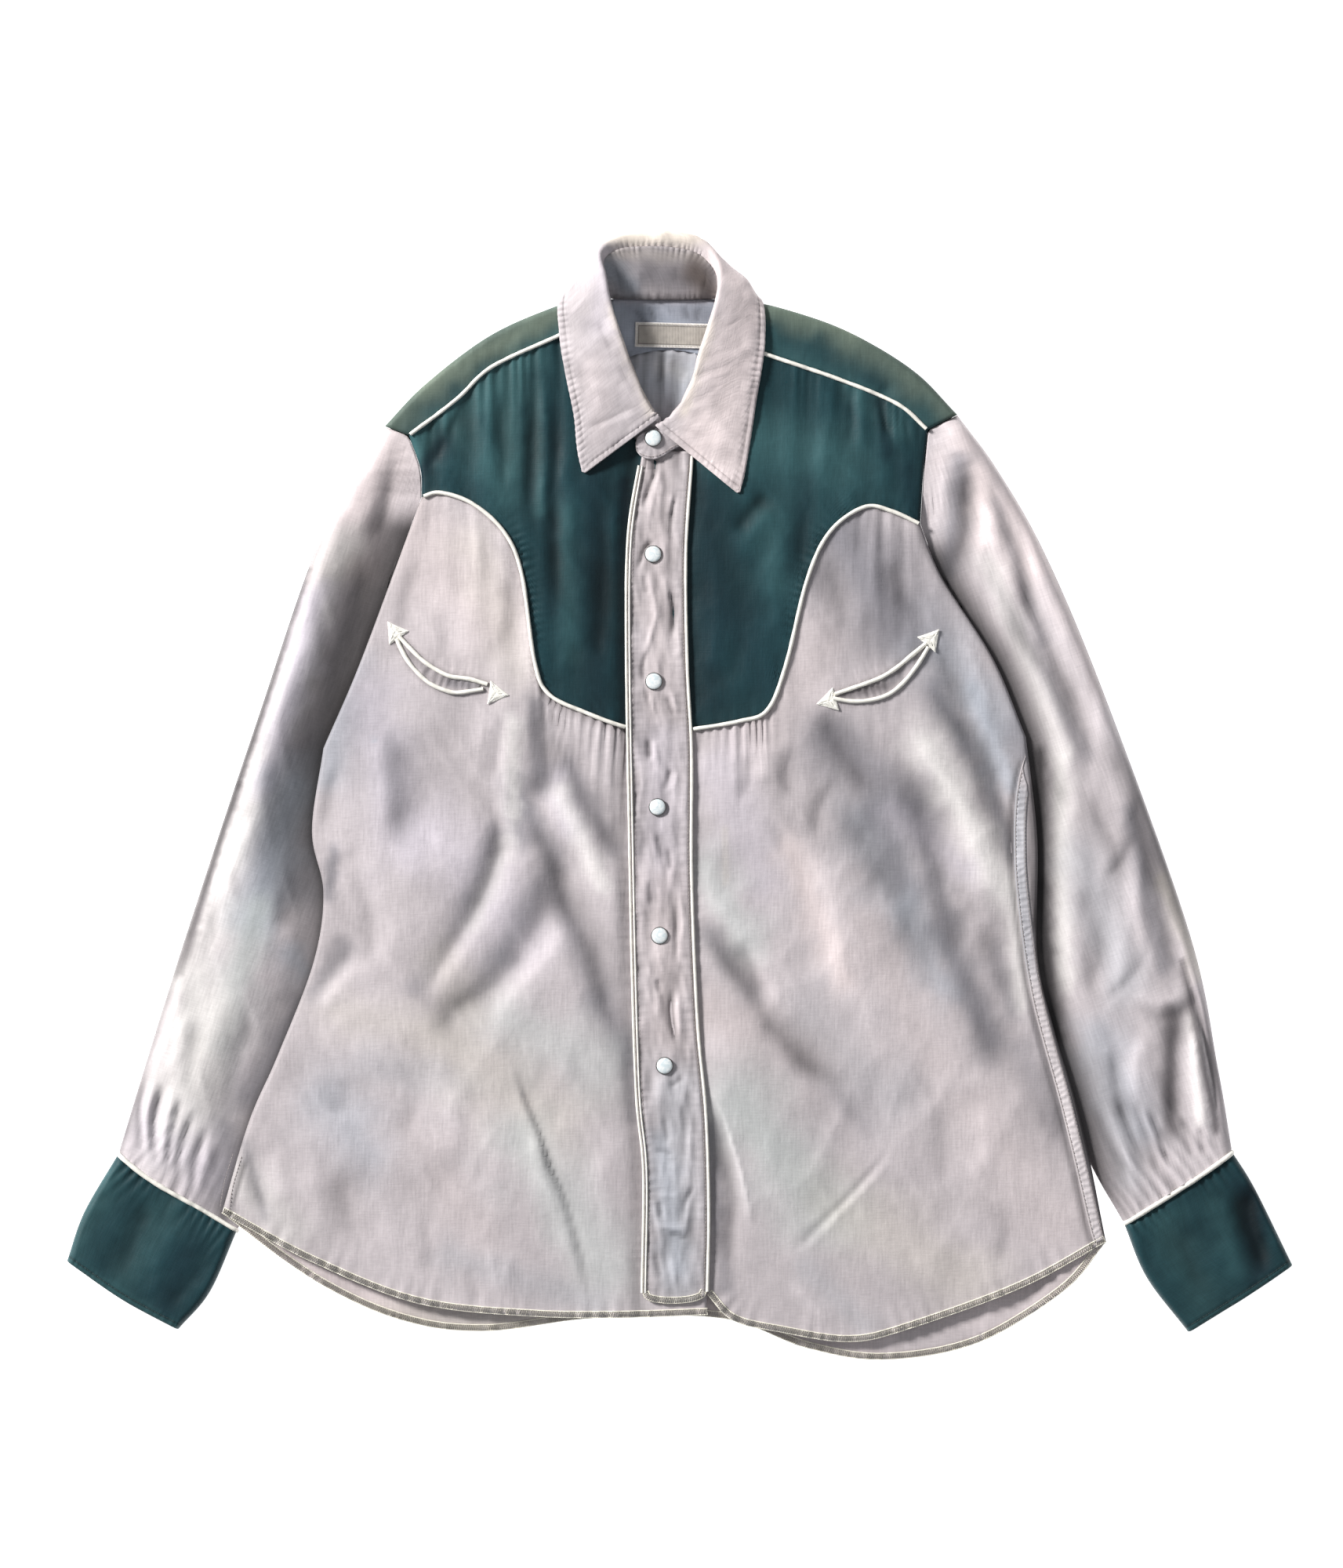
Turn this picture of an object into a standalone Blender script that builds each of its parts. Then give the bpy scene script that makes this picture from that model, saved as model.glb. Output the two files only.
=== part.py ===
"""A long-sleeved western shirt, laid flat on its back and fastened at the front.

Sizes are in millimetres and are turned into metres where a mesh is made. x runs to the right of the
shirt as it lies, y towards its collar, z up from the surface that it rests on. The origin is on that
surface, under the middle of the whole outline. "left" and "right" are as seen from above.
"""

import math

import bmesh
import bpy
import numpy as np
from mathutils import Vector
from mathutils.bvhtree import BVHTree

MM = 0.001

# Driving sizes.
WALL = 1.2              # every cloth wall
SEAM_GAP = 0.3          # between two pieces that are sewn together
SLEEVE_GAP = 0.6        # between a sleeve and the armhole
ARMHOLE_CLEAR = 3.0     # how far a sleeve stays out from the body beside the armhole
ARMHOLE_LENGTH = 60.0   # how far below the yoke seam it does so
LAY_GAP = 0.4           # between a piece and what it lies on
CROWN = 9.5             # height of the front's upper face over the middle of the body
SHOULDER = 8.5          # height of the fold along each shoulder
ARMHOLE_EDGE = 8.3      # height of the front along the armholes
SIDE_LIFT = 4.5         # how far the sleeve lifts the back along the sides
SIDE_LIFT_WIDTH = 32.0  # how far in from the side the back stays lifted
SLEEVE_UNDER = 3.0      # height of the part of a sleeve that the body lies on
SLEEVE_CROWN = 13.0     # height of a sleeve along its middle
SLEEVE_CALM = 9.0       # the width beside the body where a sleeve stays low
SLEEVE_RISE = 34.0      # how far a sleeve takes to rise from there
HEAD_DROP = 1.8         # how far a sleeve's top lies below the front along the armhole
CUFF_TAPER = (-170, 80) # y from which a sleeve lowers to its cuff, and over what length
CUFF_CROWN = 9.0        # height of a cuff
CUFF_EDGE_DROP = 1.5    # how much lower a cuff is beside its folded edges
FOLD_HALF = 1.6         # half the height of a flattened tube at its folded edges
PIPING = 1.2            # radius of the piping
SNAP_CAP = 6.15         # radius of a snap's cap
SNAP_HEIGHT = 2.6
PLACKET_CLEAR = 35.0    # the folds fade out over this distance from the placket
PLACKET_BED = 8.8       # height of the fronts under the placket
SIDE_RISE = 40.0        # how far in from the side the front reaches its full height
SIDE_CALM = 4.0         # the width along the side that has no folds
LIFT_FADE = 30.0        # how far the lifted side takes to come down
TUCK_LENGTH = 22.0      # how far the sleeve takes to slip under the body, below the yoke
YOKE_TOP = 225.0        # y from which the front rises to the shoulder fold
YOKE_RISE = 60.0        # over this length

# Grid steps.
SHOULDER_COLUMNS = 7    # along each shoulder
COLUMNS = 14            # across each front: two for each one along the shoulder
NECK_COLUMNS = 7        # along the neck, between the shoulders
ARM_ROWS = 5            # along a front's armhole
SIDE_ROWS = 10          # along the side, below the armhole
YOKE_ROWS = 7           # down each front yoke
CUFF_ROWS = 3

CLOTH = ((0.60, 0.54, 0.54), 0.62, 0.0)
CLOTH_GREY = ((0.42, 0.45, 0.50), 0.62, 0.0)
GREEN = ((0.035, 0.085, 0.088), 0.55, 0.0)
CREAM = ((0.84, 0.80, 0.70), 0.60, 0.0)
PEARL = ((0.80, 0.84, 0.88), 0.22, 0.1)


# ---------------------------------------------------------------- outlines

ARMHOLE = {
    "left": [(-206, 260), (-189, 253), (-181, 230), (-180, 210), (-192, 178), (-224, 92), (-249, 34)],
    "right": [(195, 268), (174, 257), (171, 225), (169, 191), (184, 154), (220, 97), (243, 42)],
}
SIDE = {
    "left": [(-249, 34), (-257, -24), (-249, -67), (-256, -116), (-281, -181), (-301, -227), (-320, -291)],
    "right": [(243, 42), (251, -30), (251, -110), (262, -160), (282, -228), (299, -311)],
}
SHOULDER_FOLD = {
    "left": [(-206, 260), (-178, 289), (-133, 323), (-86, 344), (-53, 353)],
    "right": [(195, 268), (164, 299), (119, 326), (74, 342), (31, 351)],
}
SHOULDER_SEAM = {
    "left": [(-189, 253), (-156, 278), (-131, 301), (-84, 323), (-60, 335)],
    "right": [(174, 257), (153, 275), (113, 292), (58, 311), (36, 321)],
}
YOKE_SEAM = {
    "left": [(-180, 210), (-167, 215), (-144, 205), (-122, 185), (-110, 156), (-101, 95), (-91, 72),
             (-65, 59), (-34, 48), (6, 40)],
    "right": [(169, 191), (149, 200), (130, 203), (106, 186), (90, 153), (75, 93), (62, 61), (42, 53),
              (7, 47)],
}
NECK_EDGE = {
    "left": [(-60, 335), (-55, 301), (-42, 268), (-14, 242)],
    "right": [(36, 321), (33, 295), (24, 262), (10, 238)],
}
PLACKET_EDGE = {
    "left": [(-28, 233), (-35, 180), (-36, 100), (-34, -20), (-32, -119), (-29, -209), (-24, -263),
             (-25, -347)],
    "right": [(8, 233), (4, 170), (5, 92), (8, 31), (8, -55), (12, -155), (18, -222), (20, -289), (19, -346)],
}
UNDERLAP_EDGE = [(4, 234), (2, 130), (5, 30), (5, -100), (12, -220), (20, -362)]
FRONT_HEM = {
    "left": [(-320, -291), (-257, -325), (-183, -354), (-105, -363), (-40, -364), (20, -362)],
    "right": [(299, -311), (240, -343), (164, -371), (120, -381), (70, -374), (38, -366), (20, -348)],
}
BACK_HEM = [(-320, -291), (-253, -340), (-192, -367), (-135, -374), (-60, -365), (30, -365), (90, -386),
            (145, -394), (210, -382), (270, -345), (299, -311)]
BACK_SEAM = [(-180, 210), (-124, 253), (-69, 294), (-8, 314), (49, 294), (107, 248), (169, 191)]
NECK_SEAM_BACK = 349.0
NECK_CORNER = {"left": -49.0, "right": 27.0}

SLEEVE_OUTSIDE = {
    "left": [(-206, 260), (-250, 185), (-296, 53), (-345, -95), (-376, -194), (-393, -250)],
    "right": [(195, 268), (223, 230), (257, 170), (299, 70), (358, -95), (378, -190), (388, -249)],
}
SLEEVE_INSIDE = {
    "left": [(-249, 34), (-234, -24), (-231, -90), (-251, -180), (-282, -250), (-310, -304)],
    "right": [(243, 42), (231, -20), (231, -85), (248, -165), (285, -250), (312, -299)],
}
CUFF_SEAM = {
    "left": [(-393, -250), (-370, -268), (-338, -287), (-310, -304)],
    "right": [(388, -249), (358, -270), (312, -299)],
}
CUFF_OUTSIDE = {
    "left": [(-393, -250), (-417, -291), (-429, -325)],
    "right": [(388, -249), (404, -275), (430, -328)],
}
CUFF_INSIDE = {
    "left": [(-310, -304), (-329, -347), (-351, -373)],
    "right": [(312, -299), (328, -337), (357, -375)],
}
CUFF_END = {
    "left": [(-429, -325), (-390, -352), (-351, -373)],
    "right": [(430, -328), (399, -349), (357, -375)],
}

# Largest folds: a ridge stands up by its height, a trough goes down by it.
FOLDS = [
    # from x, y,   to x, y,   half width, height
    (-111, 75, -108, 2, 16, -2.5),
    (-85, 39, -52, -34, 14, -2.5),
    (-80, 14, -37, -89, 14, 4.5),
    (-133, -12, -176, -108, 18, -2.5),
    (-97, -42, -168, -161, 18, 3.5),
    (-94, -53, -43, -167, 16, -2.5),
    (-114, -184, -62, -359, 12, 4.5),
    (-170, 150, -160, 20, 22, 2.0),
    (78, 54, 117, -18, 16, -2.5),
    (69, -38, 117, -112, 18, 4.5),
    (130, 26, 179, -41, 16, -2.5),
    (183, 46, 223, -41, 16, 4.0),
    (160, -85, 239, -189, 18, -2.5),
    (10, -182, 50, -294, 14, 4.5),
    (18, -97, 60, -162, 14, -2.5),
    (120, 150, 110, 90, 16, 2.0),
    (220, 200, 275, 60, 14, -3.5),
    (240, 190, 300, 10, 14, 3.5),
    (-284, 64, -350, -145, 18, 4.0),
    (-300, -60, -330, -190, 16, -3.0),
    (330, -60, 355, -200, 16, 3.5),
]


# ---------------------------------------------------------------- curves and surfaces

def smooth(points, steps):
    """A smooth curve through the points, as steps + 1 points at even distances along it."""
    p = np.array(points, float)
    if len(p) == 2:
        return p[0] + (p[1] - p[0]) * np.linspace(0, 1, steps + 1)[:, None]
    ends = np.vstack([2 * p[0] - p[1], p, 2 * p[-1] - p[-2]])
    t = np.linspace(0, 1, 12, endpoint=False)[:, None]
    fine = []
    for a, b, c, d in zip(ends, ends[1:], ends[2:], ends[3:]):
        bend = (2 * a - 5 * b + 4 * c - d) * t**2 + (3 * b - a - 3 * c + d) * t**3
        fine.append(0.5 * (2 * b + (c - a) * t + bend))
    fine = np.vstack(fine + [p[-1:]])
    along = np.concatenate([[0], np.cumsum(np.linalg.norm(np.diff(fine, axis=0), axis=1))])
    at = np.linspace(0, along[-1], steps + 1)
    return np.stack([np.interp(at, along, fine[:, k]) for k in range(p.shape[1])], axis=1)


def halved(curve):
    """The curve with a point added at the middle of each of its steps."""
    middles = (curve[1:] + curve[:-1]) / 2
    return np.insert(curve, range(1, len(curve)), middles, axis=0)


def join(*curves):
    """Curves that meet end to end, as one list of points."""
    return np.vstack([curves[0]] + [c[1:] for c in curves[1:]])


def moved_in(curve, distance):
    """The curve moved sideways, to the right of its direction where the distance is positive."""
    way = np.gradient(curve, axis=0)
    way /= np.linalg.norm(way, axis=1)[:, None]
    return curve + np.stack([way[:, 1], -way[:, 0]], axis=1) * distance


def patch(top, bottom, left, right):
    """Rows of points that fill the shape between four curves: two run left to right, the others down."""
    v = np.linspace(0, 1, len(left))[:, None, None]
    u = np.linspace(0, 1, len(top))[None, :, None]
    upper_corners = (1 - u) * (1 - v) * top[0] + u * (1 - v) * top[-1]
    corners = upper_corners + (1 - u) * v * bottom[0] + u * v * bottom[-1]
    return (1 - v) * top[None] + v * bottom[None] + (1 - u) * left[:, None] + u * right[:, None] - corners


def ease(t):
    t = np.clip(t, 0, 1)
    return t * t * (3 - 2 * t)


def outline_x(side):
    """The body's outline on one side, sorted from low to high: its y and its x."""
    line = join(smooth(ARMHOLE[side], 30), smooth(SIDE[side], 30))
    order = np.argsort(line[:, 1])
    return line[order, 1], line[order, 0]


OUTLINE = {side: outline_x(side) for side in ("left", "right")}


def inside(x, y):
    """How far a point is in from the nearer side of the body; negative out on the sleeves."""
    from_left = x - np.interp(y, *OUTLINE["left"])
    from_right = np.interp(y, *OUTLINE["right"]) - x
    return np.minimum(from_left, from_right)


def over_sleeve(x, y):
    """0 at the yoke and 1 from a little way below it, where the sleeve is tucked under the body."""
    level = np.where(x < 0, ARMHOLE["left"][3][1], ARMHOLE["right"][3][1])
    return ease((level - 2 - y) / TUCK_LENGTH)


def back_base(x, y):
    """The height of the back's lower face, which the hidden part of the sleeve lifts along the sides."""
    return SIDE_LIFT * over_sleeve(x, y) * (1 - ease((inside(x, y) - SIDE_LIFT_WIDTH) / LIFT_FADE))


def folds(x, y):
    """The rise of all the largest folds."""
    height = np.zeros_like(x)
    for x0, y0, x1, y1, width, rise in FOLDS:
        run = np.array([x1 - x0, y1 - y0], float)
        length = np.hypot(*run)
        run /= length
        along = ((x - x0) * run[0] + (y - y0) * run[1]) / length
        across = (x - x0) * run[1] - (y - y0) * run[0]
        taper = ease((along + 0.25) / 0.5) * ease((1.25 - along) / 0.5)
        height += rise * taper * np.exp(-((across / width) ** 2))
    return height


def from_placket(x, y):
    """How far a point is from the placket; 0 under it."""
    left = smooth(PLACKET_EDGE["left"], 30)[::-1]
    right = smooth(PLACKET_EDGE["right"], 30)[::-1]
    x_left = np.interp(y, left[:, 1], left[:, 0])
    x_right = np.interp(y, right[:, 1], right[:, 0])
    return np.maximum(np.maximum(x_left - x, x - x_right), 0)


def front_top(x, y):
    """The height of the front's upper face."""
    d = inside(x, y)
    side_edge = SIDE_LIFT + 2 * WALL + LAY_GAP
    edge = ARMHOLE_EDGE + (side_edge - ARMHOLE_EDGE) * over_sleeve(x, y)
    near_fold = ease((y - YOKE_TOP) / YOKE_RISE)
    crown = CROWN + (SHOULDER - CROWN) * near_fold
    clear = ease(from_placket(x, y) / PLACKET_CLEAR)
    calm = ease((d - SIDE_CALM) / SIDE_RISE) * clear * (1 - near_fold)
    top = edge + (crown - edge) * ease(d / SIDE_RISE) + folds(x, y) * calm
    in_placket = (1 - clear) * ease((d - SIDE_RISE) / SIDE_RISE) * (1 - near_fold)
    top = top + (PLACKET_BED - top) * in_placket
    return np.maximum(top, back_base(x, y) + 2 * WALL + LAY_GAP)


def sleeve_top(x, y):
    """The height of a sleeve's upper face: low where the body lies on it, and along the armhole."""
    out = -inside(x, y)
    head = 1 - over_sleeve(x, y - 25)
    edge = SLEEVE_UNDER + (ARMHOLE_EDGE - HEAD_DROP - SLEEVE_UNDER) * head
    taper_from, taper_length = CUFF_TAPER
    crown = SLEEVE_CROWN + (CUFF_CROWN - SLEEVE_CROWN) * ease((taper_from - y) / taper_length)
    return edge + (crown - edge + folds(x, y)) * ease((out - SLEEVE_CALM) / SLEEVE_RISE)


# ---------------------------------------------------------------- solids

def material(name, look):
    made = bpy.data.materials.get(name)
    if made:
        return made
    colour, roughness, metallic = look
    made = bpy.data.materials.new(name)
    made.use_nodes = True
    shader = made.node_tree.nodes["Principled BSDF"]
    shader.inputs["Base Color"].default_value = (*colour, 1)
    shader.inputs["Roughness"].default_value = roughness
    shader.inputs["Metallic"].default_value = metallic
    made.diffuse_color = (*colour, 1)
    return made


def add_object(name, bm, slot, look):
    bmesh.ops.recalc_face_normals(bm, faces=bm.faces[:])
    mesh = bpy.data.meshes.new(name)
    bm.to_mesh(mesh)
    bm.free()
    mesh.materials.append(material(slot, look))
    mesh.shade_smooth()
    mesh.set_sharp_from_angle(angle=math.radians(50))
    obj = bpy.data.objects.new(name, mesh)
    bpy.context.collection.objects.link(obj)
    return obj


def wall(name, outer, inner, slot, look):
    """A closed wall between two faces, given as rows of points. A tube's last column repeats its first."""
    rows, columns = outer.shape[:2]
    bm = bmesh.new()
    bmesh.ops.create_grid(bm, x_segments=columns - 1, y_segments=rows - 1, size=1)
    number = bm.verts.layers.int.new("number")
    for index, vert in enumerate(bm.verts):
        vert[number] = index
        vert.co = outer.reshape(-1, 3)[index] * MM
    bmesh.ops.remove_doubles(bm, verts=bm.verts[:], dist=1e-6)
    grown = bmesh.ops.extrude_face_region(bm, geom=bm.faces[:])
    for item in grown["geom"]:
        if isinstance(item, bmesh.types.BMVert):
            item.co = inner.reshape(-1, 3)[item[number]] * MM
    return add_object(name, bm, slot, look)


def lying(points, top):
    """The points of a flat patch at the heights given."""
    return np.dstack([points, top])


def panel(name, points, top, slot, look, thick=WALL):
    """A cloth panel: the patch at its upper height, and the same patch one wall lower."""
    return wall(name, lying(points, top), lying(points, top - thick), slot, look)


def normals_of(grid):
    """The direction that each point of a grid faces."""
    across = np.gradient(grid, axis=1)
    down = np.gradient(grid, axis=0)
    n = np.cross(across, down)
    return n / np.maximum(np.linalg.norm(n, axis=2), 1e-9)[..., None]


def strip(name, middle, slot, look, thick=WALL):
    """A cloth strip whose middle face is given: half its wall lies on each side."""
    n = normals_of(middle)
    return wall(name, middle + n * thick / 2, middle - n * thick / 2, slot, look)


def tube_grid(points, top, bottom, inset=0.0):
    """A flattened tube round a patch: over its upper face, and back along its lower face."""
    across = points[:, -1] - points[:, 0]
    across /= np.linalg.norm(across, axis=1)[:, None]
    level = np.full(len(points), FOLD_HALF)
    first = np.column_stack([points[:, 0] + across * inset, level])
    last = np.column_stack([points[:, -1] - across * inset, level])
    over = lying(points, top - inset)[:, 1:-1]
    under = lying(points, bottom + inset)[:, -2:0:-1]
    return np.concatenate([first[:, None], over, last[:, None], under, first[:, None]], axis=1)


def tube(name, points, top, slot, look):
    floor = np.zeros(points.shape[:2])
    return wall(name, tube_grid(points, top, floor), tube_grid(points, top, floor, WALL), slot, look)


def rest_on(objects, points, clearance, reach=1.6):
    """Heights just above the objects at the points and close round them."""
    trees = []
    graph = bpy.context.evaluated_depsgraph_get()
    for obj in objects:
        trees.append(BVHTree.FromObject(obj, graph))
    heights = []
    for x, y in points:
        best = 0.0
        for dx, dy in ((0, 0), (reach, 0), (-reach, 0), (0, reach), (0, -reach)):
            start = Vector(((x + dx) * MM, (y + dy) * MM, 0.1))
            for tree in trees:
                hit = tree.ray_cast(start, Vector((0, 0, -1)))[0]
                if hit:
                    best = max(best, hit.z / MM)
        heights.append(best + clearance)
    return np.array(heights)


def cord(name, points, radius=PIPING, closed=False):
    """Piping: a round cord along the points."""
    data = bpy.data.curves.new(name, "CURVE")
    data.dimensions = "3D"
    data.bevel_depth = radius * MM
    data.bevel_resolution = 1
    data.use_fill_caps = not closed
    spline = data.splines.new("POLY")
    spline.points.add(len(points) - 1)
    for point, place in zip(spline.points, points):
        point.co = (*(place * MM), 1)
    spline.use_cyclic_u = closed
    data.materials.append(material("piping", CREAM))
    obj = bpy.data.objects.new(name, data)
    bpy.context.collection.objects.link(obj)
    return obj


def cord_on(name, line, objects, steps, radius=PIPING):
    """Piping that lies on the objects, along a line."""
    line = smooth(line, steps)
    height = rest_on(objects, line, SEAM_GAP + radius)
    return cord(name, np.column_stack([line, height]), radius)


def trimmed(line, start, end):
    """A line without its first and last stretches, of the lengths given."""
    fine = smooth(line, 200)
    along = np.concatenate([[0], np.cumsum(np.linalg.norm(np.diff(fine, axis=0), axis=1))])
    keep = (along >= start) & (along <= along[-1] - end)
    return fine[keep][::12]


# ---------------------------------------------------------------- body

def make_back():
    half = SEAM_GAP / 2
    columns = 2 * SHOULDER_COLUMNS + NECK_COLUMNS + 1
    top = moved_in(smooth(BACK_SEAM, columns), half)
    bottom = smooth(BACK_HEM, columns)
    edges = []
    for side in ("left", "right"):
        arm = smooth(ARMHOLE[side][3:], ARM_ROWS)
        edges.append(join(arm, smooth(SIDE[side], SIDE_ROWS)))
    points = patch(top, bottom, *edges)
    low = back_base(points[..., 0], points[..., 1])
    return panel("back", points, low + WALL, "cloth", CLOTH)


def make_back_yoke():
    """From the shoulder seams over the folds and down the back to its seam; its neck edge is cut across."""
    half = SEAM_GAP / 2
    back_seam = moved_in(smooth(BACK_SEAM, 2 * SHOULDER_COLUMNS + NECK_COLUMNS + 1), -half)
    radius = SHOULDER / 2
    turns = np.radians([150, 90, 30])
    sheets = []
    for depth in (0.0, WALL):
        columns = []
        for side in ("left", "right"):
            seam = smooth(SHOULDER_SEAM[side], SHOULDER_COLUMNS)
            fold = smooth(SHOULDER_FOLD[side], SHOULDER_COLUMNS)
            out = fold - seam
            out /= np.linalg.norm(out, axis=1)[:, None]
            seam = seam + out * half
            root = fold - out * radius
            ends = back_seam if side == "left" else back_seam[::-1]
            seam_top = front_top(seam[:, 0], seam[:, 1])
            rear_shares = (0.1, 0.4, 0.7, 1.0)
            arm = smooth(ARMHOLE[side][1:4], len(rear_shares) - 1)
            group = []
            for k in range(SHOULDER_COLUMNS + 1):
                path = [(*seam[k], seam_top[k] - depth), (*(seam[k] + root[k]) / 2, SHOULDER - depth)]
                for turn in turns:
                    rim = root[k] + out[k] * (radius - depth) * math.sin(turn)
                    path.append((*rim, radius - (radius - depth) * math.cos(turn)))
                at_armhole = max(0, 1 - k / 3)
                for share, edge in zip(rear_shares, arm):
                    straight = root[k] + (ends[k] - root[k]) * share
                    path.append((*(straight + (edge - straight) * at_armhole * (share < 1)), depth))
                group.append(path)
            columns.append(group)
        neck = []
        for k, x in enumerate(np.linspace(NECK_CORNER["left"], NECK_CORNER["right"], NECK_COLUMNS)):
            end = back_seam[SHOULDER_COLUMNS + 1 + k]
            start = np.array([x, NECK_SEAM_BACK])
            neck.append([(*(start + (end - start) * share), depth) for share in np.linspace(0, 1, 9)])
        sheets.append(np.array(columns[0] + neck + columns[1][::-1]).transpose(1, 0, 2))
    return wall("back_yoke", *sheets, "green", GREEN)


def make_front(side):
    """One front below the yoke: from the yoke seam to the hem, and from the side to the placket."""
    half = SEAM_GAP / 2
    seam = smooth(YOKE_SEAM[side], COLUMNS)
    hem = smooth(FRONT_HEM[side], COLUMNS)
    arm = smooth(ARMHOLE[side][3:], ARM_ROWS)
    edge = join(arm, smooth(SIDE[side], SIDE_ROWS))
    if side == "left":
        seam = moved_in(seam, half)
        centre = smooth([p for p in UNDERLAP_EDGE if p[1] < 60], len(edge) - 1)
        centre[0] = seam[-1]
        points = patch(seam, hem, edge, centre)
    else:
        seam = moved_in(seam, -half)
        band = [p for p in PLACKET_EDGE["right"] if p[1] < 40]
        centre = smooth([(7, 47)] + band, len(edge) - 1) + np.array([SEAM_GAP + 0.4, 0])
        seam = seam[::-1].copy()
        hem = hem[::-1].copy()
        seam[0] = centre[0]
        hem[0] = centre[-1]
        points = patch(seam, hem, centre, edge)
    top = front_top(points[..., 0], points[..., 1])
    return panel("front_" + side, points, top, "cloth", CLOTH)


def make_front_yoke(side):
    """One front yoke: from the shoulder seam to the scooped seam, and from the armhole to the placket."""
    half = SEAM_GAP / 2
    shoulder = halved(smooth(SHOULDER_SEAM[side], SHOULDER_COLUMNS))
    seam = smooth(YOKE_SEAM[side], COLUMNS)
    arm = smooth(ARMHOLE[side][1:4], YOKE_ROWS)
    neck = smooth(NECK_EDGE[side], 3)
    if side == "left":
        seam = moved_in(seam, -half)
        shoulder = moved_in(shoulder, half)
        underlap = [p for p in UNDERLAP_EDGE if p[1] > 60]
        centre = smooth([tuple(neck[-1])] + underlap + [tuple(seam[-1])], YOKE_ROWS - 3)
        points = patch(shoulder, seam, arm, join(neck, centre))
    else:
        seam = moved_in(seam, half)[::-1]
        shoulder = moved_in(shoulder, -half)[::-1]
        band = [(p[0] + SEAM_GAP + 0.4, p[1]) for p in PLACKET_EDGE["right"] if 233 > p[1] > 60]
        centre = smooth([tuple(neck[-1])] + band + [tuple(seam[0])], YOKE_ROWS - 3)
        points = patch(shoulder, seam, join(neck, centre), arm)
    top = front_top(points[..., 0], points[..., 1])
    return panel("front_yoke_" + side, points, top, "green", GREEN)


def make_placket(under):
    steps = 16
    left = smooth(PLACKET_EDGE["left"], steps)
    right = smooth(PLACKET_EDGE["right"], steps)
    shares = np.linspace(0, 1, 3)[None, :, None]
    points = left[:, None] * (1 - shares) + right[:, None] * shares
    points[-1, 1] -= (0, 6)
    low = rest_on(under, points.reshape(-1, 2), LAY_GAP, reach=6).reshape(points.shape[:2])
    low[:] = low.max(axis=1)[:, None]
    return panel("placket", points, low + WALL, "cloth", CLOTH)


def make_yoke_lining():
    """The inside of the yoke, as far as the neck shows it."""
    top = smooth([(-45, NECK_SEAM_BACK - 0.5), (23, NECK_SEAM_BACK - 0.5)], 6)
    seam = smooth(BACK_SEAM, 60)
    bottom_x = np.linspace(-62, 42, 7)
    bottom = np.column_stack([bottom_x, np.interp(bottom_x, seam[:, 0], seam[:, 1]) + 1])
    sides = [smooth([tuple(top[k]), tuple(bottom[k])], 3) for k in (0, -1)]
    points = patch(top, bottom, *sides)
    return panel("yoke_lining", points, np.full(points.shape[:2], 2.5), "cloth_grey", CLOTH_GREY, thick=1.0)


def make_label():
    """The woven label in the neck, which carries nothing."""
    width, height, tilt, thick = 60.0, 17.5, math.radians(1.5), 0.8
    corner = np.array([-30.5, 333.0])
    along = np.array([math.cos(tilt), -math.sin(tilt)])
    across = np.array([-math.sin(tilt), -math.cos(tilt)])
    u = np.linspace(0, width, 5)[None, :, None]
    v = np.linspace(0, height, 2)[:, None, None]
    points = corner + u * along + v * across
    height = np.full(points.shape[:2], 2.5 + SEAM_GAP + thick)
    return panel("label", points, height, "label", CREAM, thick=thick)


# ---------------------------------------------------------------- collar

COLLAR_SECTIONS = [
    # roll x, y, z,    outer edge x, y, z,   bulge outwards at the middle x, y
    (-14.5, 264, 17, -67.5, 225, 11.2, 0, 0),
    (-22.5, 276, 19, -71.0, 243, 11.2, 0, 0),
    (-31.0, 295, 21, -73.5, 268, 11.2, 0, 0),
    (-38.5, 314, 23.5, -80.0, 300, 11.2, 0, 0),
    (-44.5, 331, 24, -83.5, 325, 11.2, 0, 0),
    (-50.0, 350, 24, -84.0, 346, 9.5, -1, 1),
    (-53.0, 366, 22, -76.0, 352, 4.0, -5, 5),
    (-56.0, 382, 18, -56.0, 357, 1.2, -9, 0),
    (-43.0, 392, 14, -43.0, 356, 0.8, 0, 0),
    (-27.0, 394, 13, -27.0, 352, 0.8, 0, 0),
    (-9.0, 394.5, 13, -9.0, 351, 0.8, 0, 0),
    (7.0, 393, 13, 6.0, 351, 0.8, 0, 0),
    (19.5, 387, 14.5, 22.0, 354, 0.8, 2, 0),
    (28.0, 375, 18, 38.0, 355, 1.2, 6, 2),
    (29.5, 362, 21, 52.0, 351, 4.0, 4, 5),
    (27.5, 348, 24, 59.0, 343, 9.5, 1, 1),
    (21.5, 328, 24, 60.0, 318, 11.2, 0, 0),
    (14.5, 307, 23, 57.5, 298, 11.2, 0, 0),
    (9.5, 289, 21, 54.0, 278, 11.2, 0, 0),
    (1.0, 273, 19, 50.0, 250, 11.2, 0, 0),
    (-6.5, 264, 18, 46.5, 229, 11.2, 0, 0),
    (-15.0, 258, 17, 42.5, 211, 11.2, 0, 0),
]

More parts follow.
